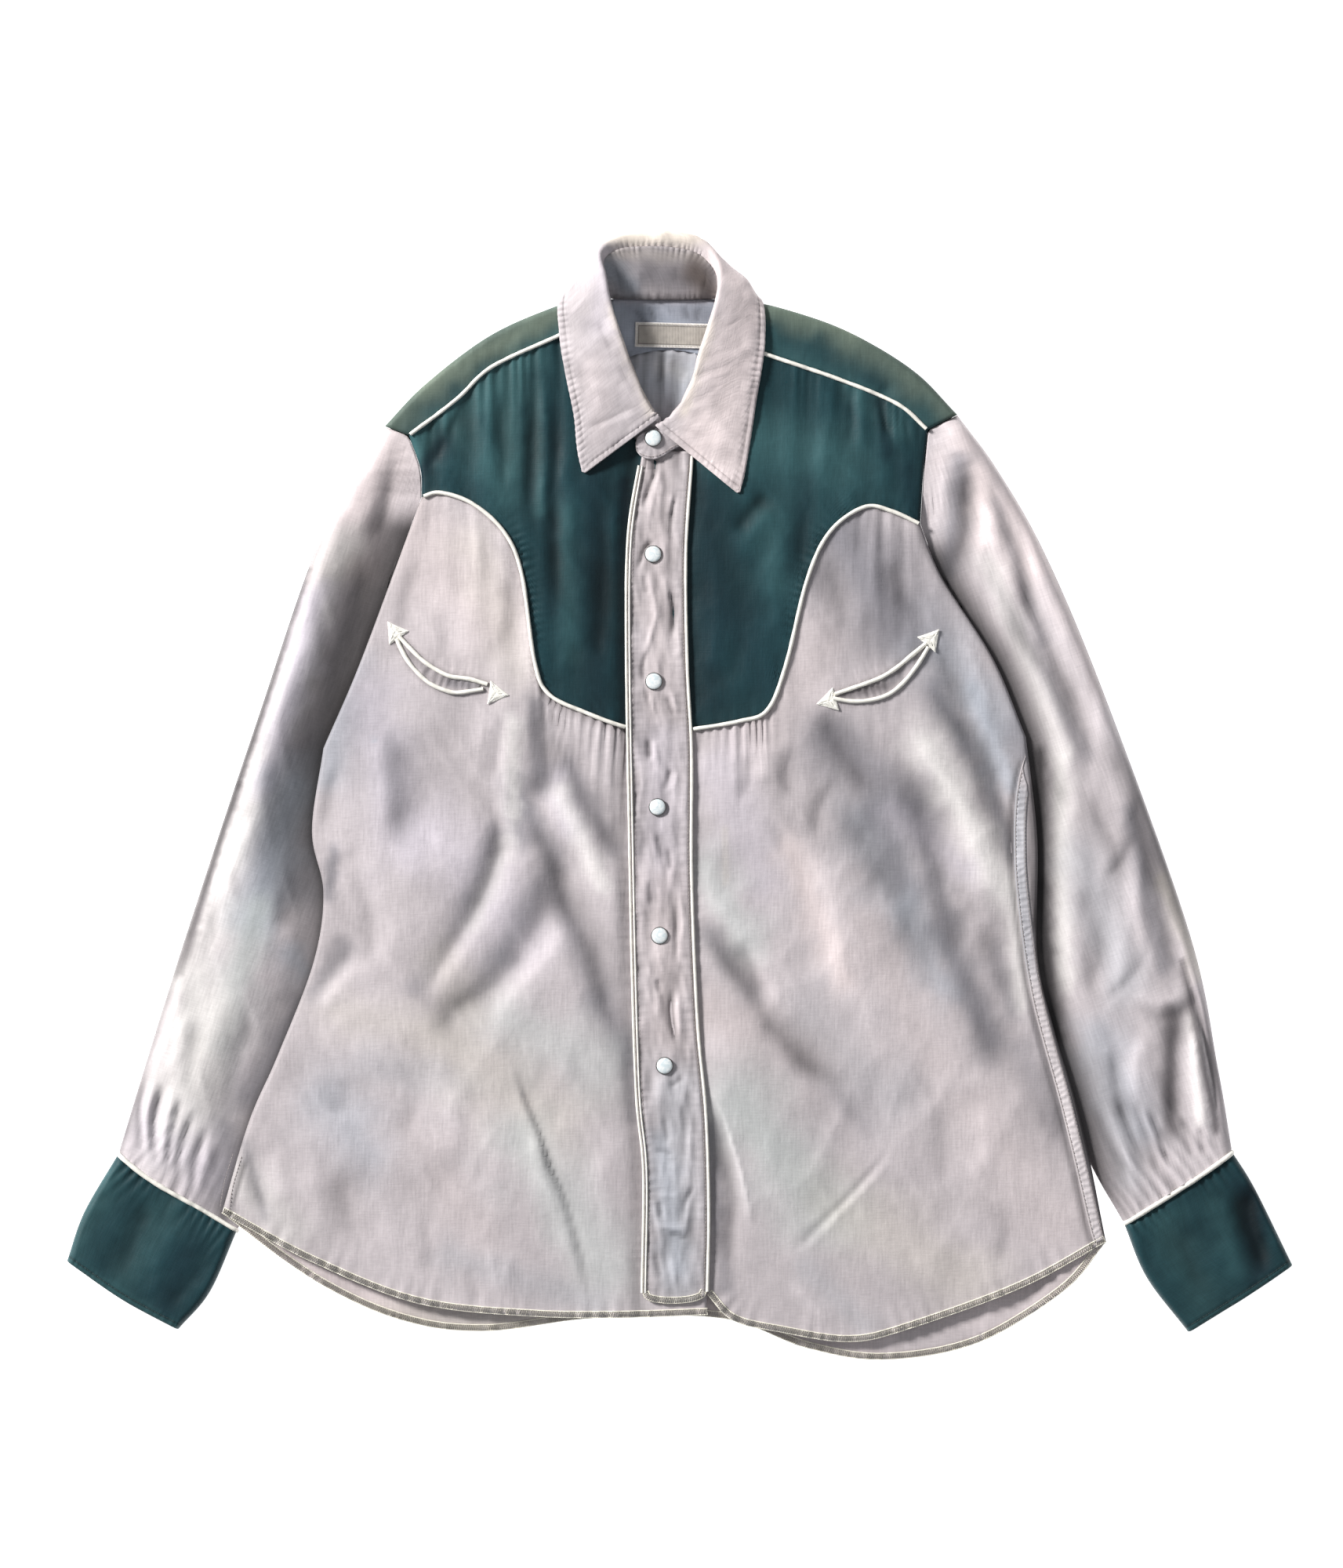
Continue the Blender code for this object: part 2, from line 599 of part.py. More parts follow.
STAND_SECTIONS = [
    # neck seam x, y, z,   top x, y, z
    (-39, 256, 10.2, -32.0, 269, 14.0),
    (-45, 270, 10.2, -34.5, 281, 15.5),
    (-51, 287, 10.2, -38.0, 296, 17.0),
    (-55, 304, 10.2, -42.5, 312, 18.0),
    (-58, 322, 10.2, -46.5, 329, 18.5),
    (-59, 338, 10.2, -50.0, 348, 18.5),
    (-51, 348.5, 7.0, -51.5, 364, 17.0),
    (-45, 349, 3.8, -53.0, 377, 14.5),
    (-36, 349, 3.6, -41.0, 386, 13.0),
    (-23, 348.5, 3.6, -26.0, 387.5, 12.5),
    (-9, 348.5, 3.6, -9.0, 388, 12.5),
    (5, 348.5, 3.6, 7.0, 386.5, 12.5),
    (15, 349, 3.6, 18.0, 381, 13.0),
    (23, 349, 3.8, 25.5, 371, 15.0),
    (28.5, 347.5, 7.0, 27.0, 360, 17.0),
    (37, 337, 10.2, 26.5, 347, 18.5),
    (35, 318, 10.2, 22.5, 327, 18.5),
    (34, 299, 10.2, 17.0, 306, 18.0),
    (30, 280, 10.2, 12.0, 288, 17.0),
    (22, 262, 10.2, 4.5, 271, 15.5),
    (11, 248, 10.2, -3.0, 261, 14.5),
    (-3, 240, 10.2, -12.0, 254, 13.5),
    (-15, 236.5, 10.2, -20.0, 252, 12.6),
    (-26, 238.5, 10.2, -27.0, 251, 12.0),
]


NECK_MIDDLE = (-11.0, 320.0)
BACK_OF_NECK = 370.0    # y beyond which the leaf folds down behind the neck


def make_collar_leaf():
    """From the seam at the top of the stand, over the roll, and down outside to the edge."""
    middle = []
    for rx, ry, rz, ex, ey, ez, bx, by in COLLAR_SECTIONS:
        roll, edge = np.array([rx, ry, rz]), np.array([ex, ey, ez])
        if ry > BACK_OF_NECK:
            inwards = (np.array(NECK_MIDDLE) - roll[:2]) * 0.01
            inner = roll + np.array([inwards[0], inwards[1] - 5.0, 1.2])
            rises = ((bx * 0.8, 0, -2.5), (bx, 0, -2.0))
        else:
            away = (roll[:2] - edge[:2]) / np.linalg.norm(roll[:2] - edge[:2])
            inner = roll + np.array([*(away * 0.4), -3.5])
            rises = ((bx * 0.8, by * 0.8, 1.0), (bx, by, 0.8))
        outside = [roll + (edge - roll) * share + rise for share, rise in zip((0.3, 0.65), rises)]
        middle.append([inner, roll, *outside, edge])
    return strip("collar_leaf", np.array(middle).transpose(1, 0, 2), "cloth", CLOTH)


def make_collar_stand():
    middle = []
    for sx, sy, sz, tx, ty, tz in STAND_SECTIONS:
        seam, top = np.array([sx, sy, sz], float), np.array([tx, ty, tz], float)
        middle.append([seam, (seam + top) / 2, top])
    return strip("collar_stand", np.array(middle).transpose(1, 0, 2), "cloth", CLOTH)


# ---------------------------------------------------------------- sleeves and cuffs

def sleeve_points(side, columns=9, rows=12):
    outside = smooth(SLEEVE_OUTSIDE[side], rows)
    inner = smooth(SLEEVE_INSIDE[side], rows)
    shoulder, yoke, front = ARMHOLE[side][:2], ARMHOLE[side][1:4], ARMHOLE[side][3:]
    arm = join(smooth(shoulder, 1), smooth(yoke, columns - ARM_ROWS - 2), smooth(front, ARM_ROWS))
    seam = smooth(CUFF_SEAM[side], columns - 1)
    out = 1 if side == "left" else -1
    arm = moved_in(arm, out * SLEEVE_GAP)
    outside[0], inner[0] = arm[0], arm[-1]
    seam = moved_in(seam, -out * (PIPING + SEAM_GAP))
    outside[-1], inner[-1] = seam[0], seam[-1]
    points = patch(arm, seam, outside, inner)
    x, y = points[1:, :, 0], points[1:, :, 1]
    clear = np.interp(y, *OUTLINE[side]) - out * ARMHOLE_CLEAR
    beside = y > ARMHOLE[side][3][1] - ARMHOLE_LENGTH
    x[:] = np.where(beside, np.minimum(x * out, clear * out) * out, x)
    return points


def cuff_points(side, columns=9):
    out = 1 if side == "left" else -1
    seam = moved_in(smooth(CUFF_SEAM[side], columns - 1), out * (PIPING + SEAM_GAP))
    end = smooth(CUFF_END[side], columns - 1)
    outside = smooth(CUFF_OUTSIDE[side], CUFF_ROWS)
    inner = smooth(CUFF_INSIDE[side], CUFF_ROWS)
    outside[0], inner[0] = seam[0], seam[-1]
    return patch(seam, end, outside, inner)


def make_sleeve(side):
    points = sleeve_points(side)
    top = sleeve_top(points[..., 0], points[..., 1])
    return tube("sleeve_" + side, points, top, "cloth", CLOTH)


def make_cuff(side):
    points = cuff_points(side)
    top = np.full(points.shape[:2], CUFF_CROWN)
    top[:, (1, -2)] -= CUFF_EDGE_DROP
    return tube("cuff_" + side, points, top, "green", GREEN)


def make_cuff_piping(side):
    """A cord all round between the sleeve and the cuff."""
    line = smooth(CUFF_SEAM[side], 8)
    top = sleeve_top(line[:, 0], line[:, 1])
    over = np.column_stack([line, top - WALL / 2])[1:-1]
    under = np.column_stack([line, np.full(len(line), PIPING)])[-2:0:-1]
    ends = np.column_stack([line, np.full(len(line), FOLD_HALF + 0.6)])
    return cord("cuff_piping_" + side, np.vstack([ends[:1], over, ends[-1:], under]), closed=True)


# ---------------------------------------------------------------- trim

POCKET_LINES = {
    ("left", "upper"): [(-192.5, 108.5), (-179, 95.5), (-170, 89), (-160, 84.5), (-147, 82.5), (-136, 79.5)],
    ("left", "lower"): [(-195.5, 104.5), (-189, 94.5), (-182.5, 87), (-174.5, 79.5), (-165, 75), (-155, 73),
                        (-137, 75)],
    ("right", "upper"): [(169.5, 104.5), (162, 98.5), (153, 91), (143, 84.5), (131, 79.5), (114, 73.5)],
    ("right", "lower"): [(171.5, 99.5), (168, 94), (158, 81), (147, 72), (134, 68), (121, 67), (114, 68)],
}
ARROWHEADS = {
    # centre x, y and the way that it points, in degrees
    ("left", "outer"): (-198.5, 115, 125),
    ("left", "inner"): (-128.5, 72.5, -8),
    ("right", "outer"): (176, 110, 50),
    ("right", "inner"): (105.5, 67.5, 195),
}
ARROW_SIZE = 9.0
POCKET_CORD = 1.1       # radius of the cords round a pocket's mouth
POCKET_STEPS = 8
SNAPS = [(-18, 251), (-18, 170), (-17.5, 81), (-15, -7), (-13.5, -97), (-10, -188)]


def make_pocket(side, front):
    for edge in ("upper", "lower"):
        line = POCKET_LINES[side, edge]
        cord_on("pocket_piping_%s_%s" % (edge, side), line, [front], POCKET_STEPS, radius=POCKET_CORD)
    upper = smooth(POCKET_LINES[side, "upper"], POCKET_STEPS)
    lower = smooth(POCKET_LINES[side, "lower"], POCKET_STEPS)
    way = (lower - upper) / np.linalg.norm(lower - upper, axis=1)[:, None]
    inset = POCKET_CORD + SEAM_GAP + 0.2
    points = np.stack([upper + way * inset, lower - way * inset])[:, 2:-1]
    height = rest_on([front], points.reshape(-1, 2), LAY_GAP, reach=1.0).reshape(points.shape[:2])
    panel("pocket_facing_" + side, points, height + 1.0, "cloth", CLOTH, thick=1.0)
    for end in ("outer", "inner"):
        make_arrowhead("arrowhead_%s_%s" % (end, side), ARROWHEADS[side, end], front)


def make_arrowhead(name, place, front):
    """A worked triangle at the end of a pocket mouth."""
    x, y, turn = place
    turn = math.radians(turn)
    rim = []
    for angle, reach in ((0, 1.0), (115, 0.95), (180, 0.35), (245, 0.95)):
        way = turn + math.radians(angle)
        rim.append((x + ARROW_SIZE * reach * math.cos(way), y + ARROW_SIZE * reach * math.sin(way)))
    base = rest_on([front], rim + [(x, y)], LAY_GAP).max()
    bm = bmesh.new()
    corners = [bm.verts.new(Vector((px, py, base)) * MM) for px, py in rim]
    face = bm.faces.new(corners)
    grown = bmesh.ops.extrude_face_region(bm, geom=[face])
    raised = [v for v in grown["geom"] if isinstance(v, bmesh.types.BMVert)]
    bmesh.ops.translate(bm, verts=raised, vec=(0, 0, 1.2 * MM))
    add_object(name, bm, "embroidery", CREAM)


def make_snap(number, place, under):
    """A pearl cap: a low turned button."""
    x, y = place
    ring = [(SNAP_CAP * math.cos(a), SNAP_CAP * math.sin(a)) for a in np.linspace(0, 2 * math.pi, 9)]
    around = [(x + dx, y + dy) for dx, dy in ring] + [(x, y)]
    base = rest_on(under, around, LAY_GAP).max()
    bm = bmesh.new()
    profile = [(0, 0), (SNAP_CAP - 0.4, 0), (SNAP_CAP, 0.6), (SNAP_CAP - 0.5, 1.5), (SNAP_CAP * 0.55, 2.3),
               (0, SNAP_HEIGHT)]
    verts = [bm.verts.new(Vector((x + r, y, base + z)) * MM) for r, z in profile]
    edges = [bm.edges.new(pair) for pair in zip(verts, verts[1:])]
    bmesh.ops.spin(bm, geom=verts + edges, cent=Vector((x, y, 0)) * MM, axis=(0, 0, 1), angle=2 * math.pi,
                   steps=14, use_merge=True)
    bmesh.ops.remove_doubles(bm, verts=bm.verts[:], dist=1e-6)
    add_object("snap_%d" % number, bm, "pearl", PEARL)


# ---------------------------------------------------------------- the shirt

UNDER_COLLAR = {"left": 29, "right": 25}        # the stretch of shoulder seam that has no cord
UNDER_PLACKET = {"left": 46, "right": 3.2}      # the stretch of yoke seam that has none


def make_shirt():
    make_back()
    back_yoke = make_back_yoke()
    make_yoke_lining()
    make_label()
    fronts = {side: make_front(side) for side in ("left", "right")}
    yokes = {side: make_front_yoke(side) for side in ("left", "right")}
    placket = make_placket([fronts["left"], yokes["left"]])
    make_collar_leaf()
    stand = make_collar_stand()
    for side in ("left", "right"):
        make_sleeve(side)
        make_cuff(side)
        make_cuff_piping(side)
        shoulder = trimmed(SHOULDER_SEAM[side], 1, UNDER_COLLAR[side])
        cord_on("shoulder_piping_" + side, shoulder, [yokes[side], back_yoke], 10)
        scoop = trimmed(YOKE_SEAM[side], 1, UNDER_PLACKET[side])
        cord_on("yoke_piping_" + side, scoop, [yokes[side], fronts[side]], 22)
        make_pocket(side, fronts[side])
    left_edge = moved_in(smooth(PLACKET_EDGE["left"], 40), SEAM_GAP + PIPING)
    cord_on("placket_piping_left", left_edge, [yokes["left"], fronts["left"]], 16)
    right_edge = moved_in(smooth(PLACKET_EDGE["right"], 40), -SEAM_GAP - PIPING)
    cord_on("placket_piping_right", right_edge, [yokes["right"], fronts["right"]], 16)
    make_snap(1, SNAPS[0], [stand])
    for number, place in enumerate(SNAPS[1:], start=2):
        make_snap(number, place, [placket])


for old in list(bpy.data.objects):
    bpy.data.objects.remove(old, do_unlink=True)
make_shirt()
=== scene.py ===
import math
from functools import partial

import bmesh
import bpy
import numpy as np
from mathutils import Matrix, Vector


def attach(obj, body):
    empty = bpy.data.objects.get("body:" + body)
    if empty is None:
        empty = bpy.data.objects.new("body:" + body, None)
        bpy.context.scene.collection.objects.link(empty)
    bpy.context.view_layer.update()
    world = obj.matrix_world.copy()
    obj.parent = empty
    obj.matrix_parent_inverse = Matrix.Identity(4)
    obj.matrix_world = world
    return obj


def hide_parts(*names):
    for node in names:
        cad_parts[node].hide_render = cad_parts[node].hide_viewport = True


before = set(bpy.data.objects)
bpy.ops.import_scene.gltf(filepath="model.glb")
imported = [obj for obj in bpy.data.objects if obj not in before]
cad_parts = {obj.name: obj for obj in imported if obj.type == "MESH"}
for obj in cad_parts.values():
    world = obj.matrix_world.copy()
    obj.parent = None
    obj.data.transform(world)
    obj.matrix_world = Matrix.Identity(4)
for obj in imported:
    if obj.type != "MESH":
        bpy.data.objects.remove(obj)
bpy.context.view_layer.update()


# ---------------------------------------------------------------- floor, light and camera
# The shirt lies flat on a plain pale floor, seen from straight above. One soft light stands low at the
# upper left, like a window, and weaker ones fill the shadows. Sizes here are in metres.

FRAME_HEIGHT = 2000     # of the photograph, in pixels
MM_PER_PIXEL = 0.55
VIEW_CENTRE = (-0.0052, 0.0091)
CAMERA_HEIGHT = 4.0
FILM = 36.0


def fed(node, values):
    """A node with its inputs set to values or joined to sockets."""
    for name, value in values.items():
        if isinstance(value, bpy.types.NodeSocket):
            node.id_data.links.new(value, node.inputs[name])
        else:
            node.inputs[name].default_value = value
    return node


def material(name, **values):
    """A new material, and two functions: one adds a node to it, the other sets inputs of its shader."""
    made = bpy.data.materials.new(name)
    made.use_nodes = True

    def add(kind, values, **settings):
        node = made.node_tree.nodes.new("ShaderNode" + kind)
        for key, value in settings.items():
            setattr(node, key, value)
        return fed(node, values)

    def shade(**values):
        named = {key.replace("_", " "): value for key, value in values.items()}
        fed(made.node_tree.nodes["Principled BSDF"], named)

    shade(**values)
    return made, add, shade


def object_of(bm, name, *finishes):
    """The bmesh as an object with its finishes."""
    mesh = bpy.data.meshes.new(name)
    bm.to_mesh(mesh)
    bm.free()
    mesh.shade_smooth()
    for finish in finishes:
        mesh.materials.append(finish)
    piece = bpy.data.objects.new(name, mesh)
    bpy.context.collection.objects.link(piece)
    return piece


bm = bmesh.new()
bmesh.ops.create_grid(bm, x_segments=1, y_segments=1, size=4.0)
bmesh.ops.translate(bm, verts=bm.verts[:], vec=(0, 0, -0.0003))
pale_floor, _, shade = material("pale_floor", Base_Color=(0.97, 0.97, 0.97, 1), Roughness=0.9)
shade(Emission_Color=(1, 1, 1, 1), Emission_Strength=0.85)
object_of(bm, "floor", pale_floor)


def soft_light(name, place, size, power, colour):
    """A square soft light that faces the shirt."""
    data = bpy.data.lights.new(name, "AREA")
    data.size = size
    data.energy = power
    data.color = colour
    light = bpy.data.objects.new(name, data)
    light.location = place
    light.rotation_euler = (-Vector(place)).to_track_quat("-Z", "Y").to_euler()
    bpy.context.collection.objects.link(light)


soft_light("window", (-4.6, 3.0, 3.2), 1.3, 650, (1.0, 0.985, 0.965))
soft_light("fill", (2.6, -1.6, 2.4), 2.2, 9, (0.92, 0.96, 1.0))
soft_light("overhead", (0.2, -0.2, 3.4), 2.6, 11, (1.0, 1.0, 1.0))

world = bpy.data.worlds.new("room")
world.use_nodes = True
fed(world.node_tree.nodes["Background"], {"Color": (0.93, 0.96, 1.0, 1), "Strength": 0.2})
bpy.context.scene.world = world
bpy.context.scene.view_settings.view_transform = "Standard"

camera_data = bpy.data.cameras.new("camera")
camera_data.type = "PERSP"
camera_data.sensor_width = FILM
camera_data.lens = FILM * CAMERA_HEIGHT / (FRAME_HEIGHT * MM_PER_PIXEL / 1000)
camera = bpy.data.objects.new("camera", camera_data)
camera.location = (*VIEW_CENTRE, CAMERA_HEIGHT)
bpy.context.collection.objects.link(camera)
bpy.context.scene.camera = camera


# ---------------------------------------------------------------- back panel
# The back is one piece of gabardine that lies face down under the fronts, on the floor. Its hem shows
# below theirs, and its sides lie on the tucked-in parts of the sleeves. Sizes from here on are in millimetres.

MM = 0.001
CLOTH = 0.5             # one layer of gabardine
SHOULDER = 8.5          # height of the fold along each shoulder
SIDE_LIFT = 4.5         # how far a tucked-in sleeve lifts the back
SIDE_LIFT_WIDTH = 32.0

ARMHOLE = {
    "left": [(-206, 260), (-189, 253), (-181, 230), (-180, 210), (-192, 178), (-224, 92), (-249, 34)],
    "right": [(195, 268), (174, 257), (171, 225), (169, 191), (184, 154), (220, 97), (243, 42)],
}
SIDE = {
    "left": [(-249, 34), (-257, -24), (-249, -67), (-256, -116), (-281, -181), (-301, -227), (-320, -291)],
    "right": [(243, 42), (251, -30), (251, -110), (262, -160), (282, -228), (299, -311)],
}
BACK_HEM = [(-320, -291), (-253, -340), (-192, -367), (-135, -374), (-60, -365), (30, -365), (90, -386),
            (145, -394), (210, -382), (270, -345), (299, -311)]
BACK_SEAM = [(-180, 210), (-124, 253), (-69, 294), (-8, 314), (49, 294), (107, 248), (169, 191)]
BACK_CREASES = [
    # path as x, y after x, y; half width, height, lean
    ((-2, 318, -4.5, 304, -4, 286, -7, 268), 1.6, -3.6, 0.3), ((-13, 318, -13, 304, -14, 288), 1.5, -2.2, 0.2),
    ((-24, 317, -23, 305, -24, 294), 1.5, -1.8), ((4, 317, 3, 304, 2, 290), 1.4, -1.8),
    ((-33, 317, -32, 306, -31, 297), 1.5, -1.6), ((-20, 314, -22, 290, -19, 262), 3, 1.3),
    ((8, 314, 10, 292, 8, 260), 3, 1.1), ((-150, -340, -135, -362, -131, -374), 3, 1.2, 0.2),
    ((-100, -345, -88, -366), 3, 0.9), ((60, -350, 82, -382), 4, 1.4), ((140, -355, 148, -392), 4, 1.5, 0.2),
    ((215, -345, 214, -378), 4, 1.3), ((-250, -310, -262, -332), 4, 1.2),
]
# dusk, shade, umber and deep teal are painted shade in the tables below: in troughs, beside raised parts and in
# recesses; dusk also colours small stains. pale and worn teal are also painted highlights along ridges, and worn
# teal is worn cloth too.
TINTS = {
    "mauve": (192, 184, 187), "rose": (206, 193, 193), "lilac": (202, 195, 206), "steel": (166, 173, 184),
    "sage": (186, 191, 190), "beige": (208, 200, 191), "dusk": (132, 130, 137), "shade": (78, 73, 76),
    "pale": (222, 218, 216), "grey": (172, 173, 179), "teal": (29, 58, 64), "deep teal": (15, 38, 47),
    "worn and highlit teal": (60, 94, 97), "straw": (116, 128, 114), "cream": (240, 228, 216), "blush": (242, 227, 227),
    "slate": (120, 125, 135), "umber": (106, 94, 88),
}
BACK_FADES = [
    # from x, y to x, y, half width, tint, strength
    (-300, -310, -200, -365, 30, "rose", 0.7), (-200, -370, 20, -370, 22, "beige", 0.5),
    (40, -375, 290, -330, 30, "rose", 0.55), (-40, 300, 30, 300, 60, "grey", 0.85),
    (-30, 290, 20, 290, 18, "steel", 0.6), (-12, 302, 2, 296, 6, "pale", 0.35),
]


def ease(t):
    t = np.clip(t, 0, 1)
    return t * t * (3 - 2 * t)


def rounded(distance, radius):
    """0 at a pressed edge, rising round to 1 at the radius from it."""
    return np.sqrt(1 - (1 - np.clip(distance / radius, 0, 1)) ** 2)


def bell(gap, width):
    """1 at no gap, falling away on both sides."""
    return np.exp(-((gap / width) ** 2))


def distances(line):
    """How far along a line each of its points is."""
    return np.concatenate([[0], np.cumsum(np.linalg.norm(np.diff(line, axis=0), axis=1))])


def evenly(line, count):
    """The points of a line again, at even distances along it."""
    along = distances(line)
    at = np.linspace(0, along[-1], count)
    return np.stack([np.interp(at, along, line[:, k]) for k in range(line.shape[1])], axis=1)


def smooth(points, steps):
    """A smooth curve through the points, as steps + 1 points at even distances along it."""
    p = np.array(points, float)
    if len(p) == 2:
        return p[0] + (p[1] - p[0]) * np.linspace(0, 1, steps + 1)[:, None]
    ends = np.vstack([2 * p[0] - p[1], p, 2 * p[-1] - p[-2]])
    t = np.linspace(0, 1, 12, endpoint=False)[:, None]
    fine = []
    for a, b, c, d in zip(ends, ends[1:], ends[2:], ends[3:]):
        bend = (2 * a - 5 * b + 4 * c - d) * t**2 + (3 * b - a - 3 * c + d) * t**3
        fine.append(0.5 * (2 * b + (c - a) * t + bend))
    return evenly(np.vstack(fine + [p[-1:]]), steps + 1)


def join(*curves):
    """Curves that meet end to end, as one list of points."""
    return np.vstack([curves[0]] + [c[1:] for c in curves[1:]])


def moved_in(curve, distance):
    """The curve moved sideways, to the right of its direction where the distance is positive."""
    way = np.gradient(curve, axis=0)
    way /= np.linalg.norm(way, axis=1)[:, None]
    return curve + np.stack([way[:, 1], -way[:, 0]], axis=1) * distance


def patch(top, bottom, left, right):
    """Rows of points that fill the shape between four curves: top and bottom run left to right, the others down."""
    v = np.linspace(0, 1, len(left))[:, None, None]
    u = np.linspace(0, 1, len(top))[None, :, None]
    corners = (1 - u) * (1 - v) * top[0] + u * (1 - v) * top[-1] + (1 - u) * v * bottom[0] + u * v * bottom[-1]
    return (1 - v) * top[None] + v * bottom[None] + (1 - u) * left[:, None] + u * right[:, None] - corners


def along_line(line, x, y):
    """How far each place is from a line, positive to its left, and how far along the line that is."""
    gap = np.full(np.shape(x), 1e6)
    side = np.ones(np.shape(x))
    run = np.zeros(np.shape(x))
    start = 0.0
    for (ax, ay), (bx, by) in zip(line[:-1], line[1:]):
        step = math.hypot(bx - ax, by - ay)
        ux, uy = (bx - ax) / step, (by - ay) / step
        t = np.clip((x - ax) * ux + (y - ay) * uy, 0, step)
        away = np.hypot(x - ax - ux * t, y - ay - uy * t)
        near = away < gap
        gap = np.where(near, away, gap)
        side = np.where(near, np.where(ux * (y - ay) - uy * (x - ax) < 0, -1.0, 1.0), side)
        run = np.where(near, start + t, run)
        start += step
    return gap * side, run


def gap_to(line, x, y):
    """How far each place is from a line, positive to its left."""
    return along_line(line, x, y)[0]


def unevenness(x, y, size, seed):
    """A smooth random rise and fall from -1 to 1, with about one hill for each size."""
    chances = np.random.default_rng(seed).uniform(-1, 1, (64, 64))
    gx, gy = x / size, y / size
    ix, iy = np.floor(gx).astype(int), np.floor(gy).astype(int)
    fx, fy = ease(gx - ix), ease(gy - iy)
    rows = []
    for dy in (0, 1):
        near, far = (chances[(ix + dx) % 64, (iy + dy) % 64] for dx in (0, 1))
        rows.append(near + (far - near) * fx)
    return rows[0] + (rows[1] - rows[0]) * fy


def within(line, reach, x, y):
    """Which places are inside the line's box, grown by a reach."""
    low, high = np.min(line, axis=0) - reach, np.max(line, axis=0) + reach
    return (x > low[0]) & (x < high[0]) & (y > low[1]) & (y < high[1])


CREASE_SHIFT = np.array([0.42, -0.28])      # a crease's middle lies this far from the flank that its path follows
RIDGE = 0.72            # ridges stand less high than troughs are deep


def creased(x, y, creases):
    """The rise of a list of creases: each a path, a half width, a height, and a lean to its left if it leans."""
    height = np.zeros(np.shape(x))
    for number, (path, width, rise, *lean) in enumerate(creases):
        line = smooth(np.reshape(path, (-1, 2)), 10) + CREASE_SHIFT * width
        rise = rise * RIDGE if rise > 0 else rise
        near = within(line, 4 * width, x, y)
        if not near.any():
            continue
        away, run = along_line(line, x[near], y[near])
        share = run / distances(line)[-1]
        waver = unevenness(run, np.zeros_like(run), 28, number)
        away = away + 0.35 * width * waver
        spread = width * np.where(away > 0, 1 + sum(lean), 1 - sum(lean))
        taper = ease(share / 0.3) * ease((1 - share) / 0.3) * (1 + 0.3 * waver)
        sharp = 1.25 if width < 5 else 1.6
        height[near] += rise * taper * np.exp(-np.abs(away / spread) ** sharp)
    return height


def puckers(x, y, line, spacing, reach, rise, seed, side=0, start=0, end=1e6):
    """Small folds that run out from a seam and fade over their reach, on both sides of it or on one."""
    height = np.zeros(np.shape(x))
    near = within(line, 4 * reach, x, y)
    if not near.any():
        return height
    away, run = along_line(line, x[near], y[near])
    drift = unevenness(run, away * 0.4, spacing * 2.5, seed)
    wave = np.cos(2 * math.pi * (run / spacing + 0.8 * drift))
    strength = 0.55 + 0.45 * unevenness(run, away * 0.3, spacing * 1.7, seed + 1)
    fade = np.exp(-(np.abs(away) / reach) ** 1.3)
    if side:
        fade *= away * side > 0
    stretch = ease((run - start) / (spacing * 2)) * ease((end - run) / (spacing * 2))
    height[near] = rise * wave * strength * fade * stretch
    return height


def drapes(x, y, seam, spacing, reach, rise, seed, low=-1e6, high=1e6):
    """Upright folds that hang from a seam and fade over their reach below it, between two places along x."""
    line = smooth(seam, 80)
    line = line[np.argsort(line[:, 0])]
    below = np.interp(x, line[:, 0], line[:, 1]) - y
    drift = unevenness(x, y * 0.15, spacing * 2.5, seed)
    wave = np.cos(2 * math.pi * (x / spacing + 0.8 * drift))
    strength = 0.55 + 0.45 * unevenness(x, y * 0.1, spacing * 1.7, seed + 1)
    window = ease((x - low) / (2 * spacing)) * ease((high - x) / (2 * spacing)) * (below > -1)
    return rise * wave * strength * window * np.exp(-(np.abs(below) / reach) ** 1.2)


def rumple(x, y, seed):
    """The small dents and ridges that wear leaves all over a washed cloth."""
    broad = 0.8 * unevenness(x + 0.4 * y, y - 0.2 * x, 47, seed)
    ridged = 0.75 * (0.4 - np.abs(unevenness(x - 0.5 * y, 0.6 * y, 30, seed + 1)))
    folded = 0.6 * (0.4 - np.abs(unevenness(x + 0.7 * y, 0.5 * y - 0.3 * x, 17, seed + 2)))
    return broad + ridged + folded + 0.2 * unevenness(x, 0.5 * y, 8, seed + 3)


def tone(name):
    """A named tint as the shader reads it."""
    return (np.array(TINTS[name]) / 255) ** 2.2


def faded_and_shaded(x, y, ground, places):
    """The cloth's colour at each point: its ground, taken towards a tint along each listed place; the places hold
    faded cloth and stains, and also painted shade and painted highlights.
    """
    colour = np.broadcast_to(tone(ground), np.shape(x) + (3,)).copy()
    for number, (x0, y0, x1, y1, width, name, strength) in enumerate(places):
        line = [(x0, y0), (x1, y1 + 0.01)]
        near = within(line, 2.6 * width, x, y)
        if not near.any():
            continue
        away = gap_to(line, x[near], y[near])
        edge = width * (1 + 0.35 * unevenness(x[near], y[near], width * 0.9, number + 40))
        share = strength * bell(away, edge)
        colour[near] += (tone(name) - colour[near]) * share[:, None]
    return colour


def worn_and_shaded(colour, rise):
    """Cloth paler on its ridges and darker in its troughs: partly wear, partly painted highlight on the ridges and
    painted shade in the troughs.
    """
    return colour * np.clip(1 + 0.125 * rise, 0.42, 1.25)[..., None]


def shaded_along(colour, gap, width, strength):
    """Cloth darkened along a line: painted shade along seams, stitch rows and edges, and where one part covers
    another.
    """
    return colour * (1 - strength * bell(gap, width))[..., None]


def outline_x(side):
    """The body's outline on one side, from low to high: its y and its x."""
    line = join(smooth(ARMHOLE[side], 60), smooth(SIDE[side], 60))
    order = np.argsort(line[:, 1])
    return line[order, 1], line[order, 0]


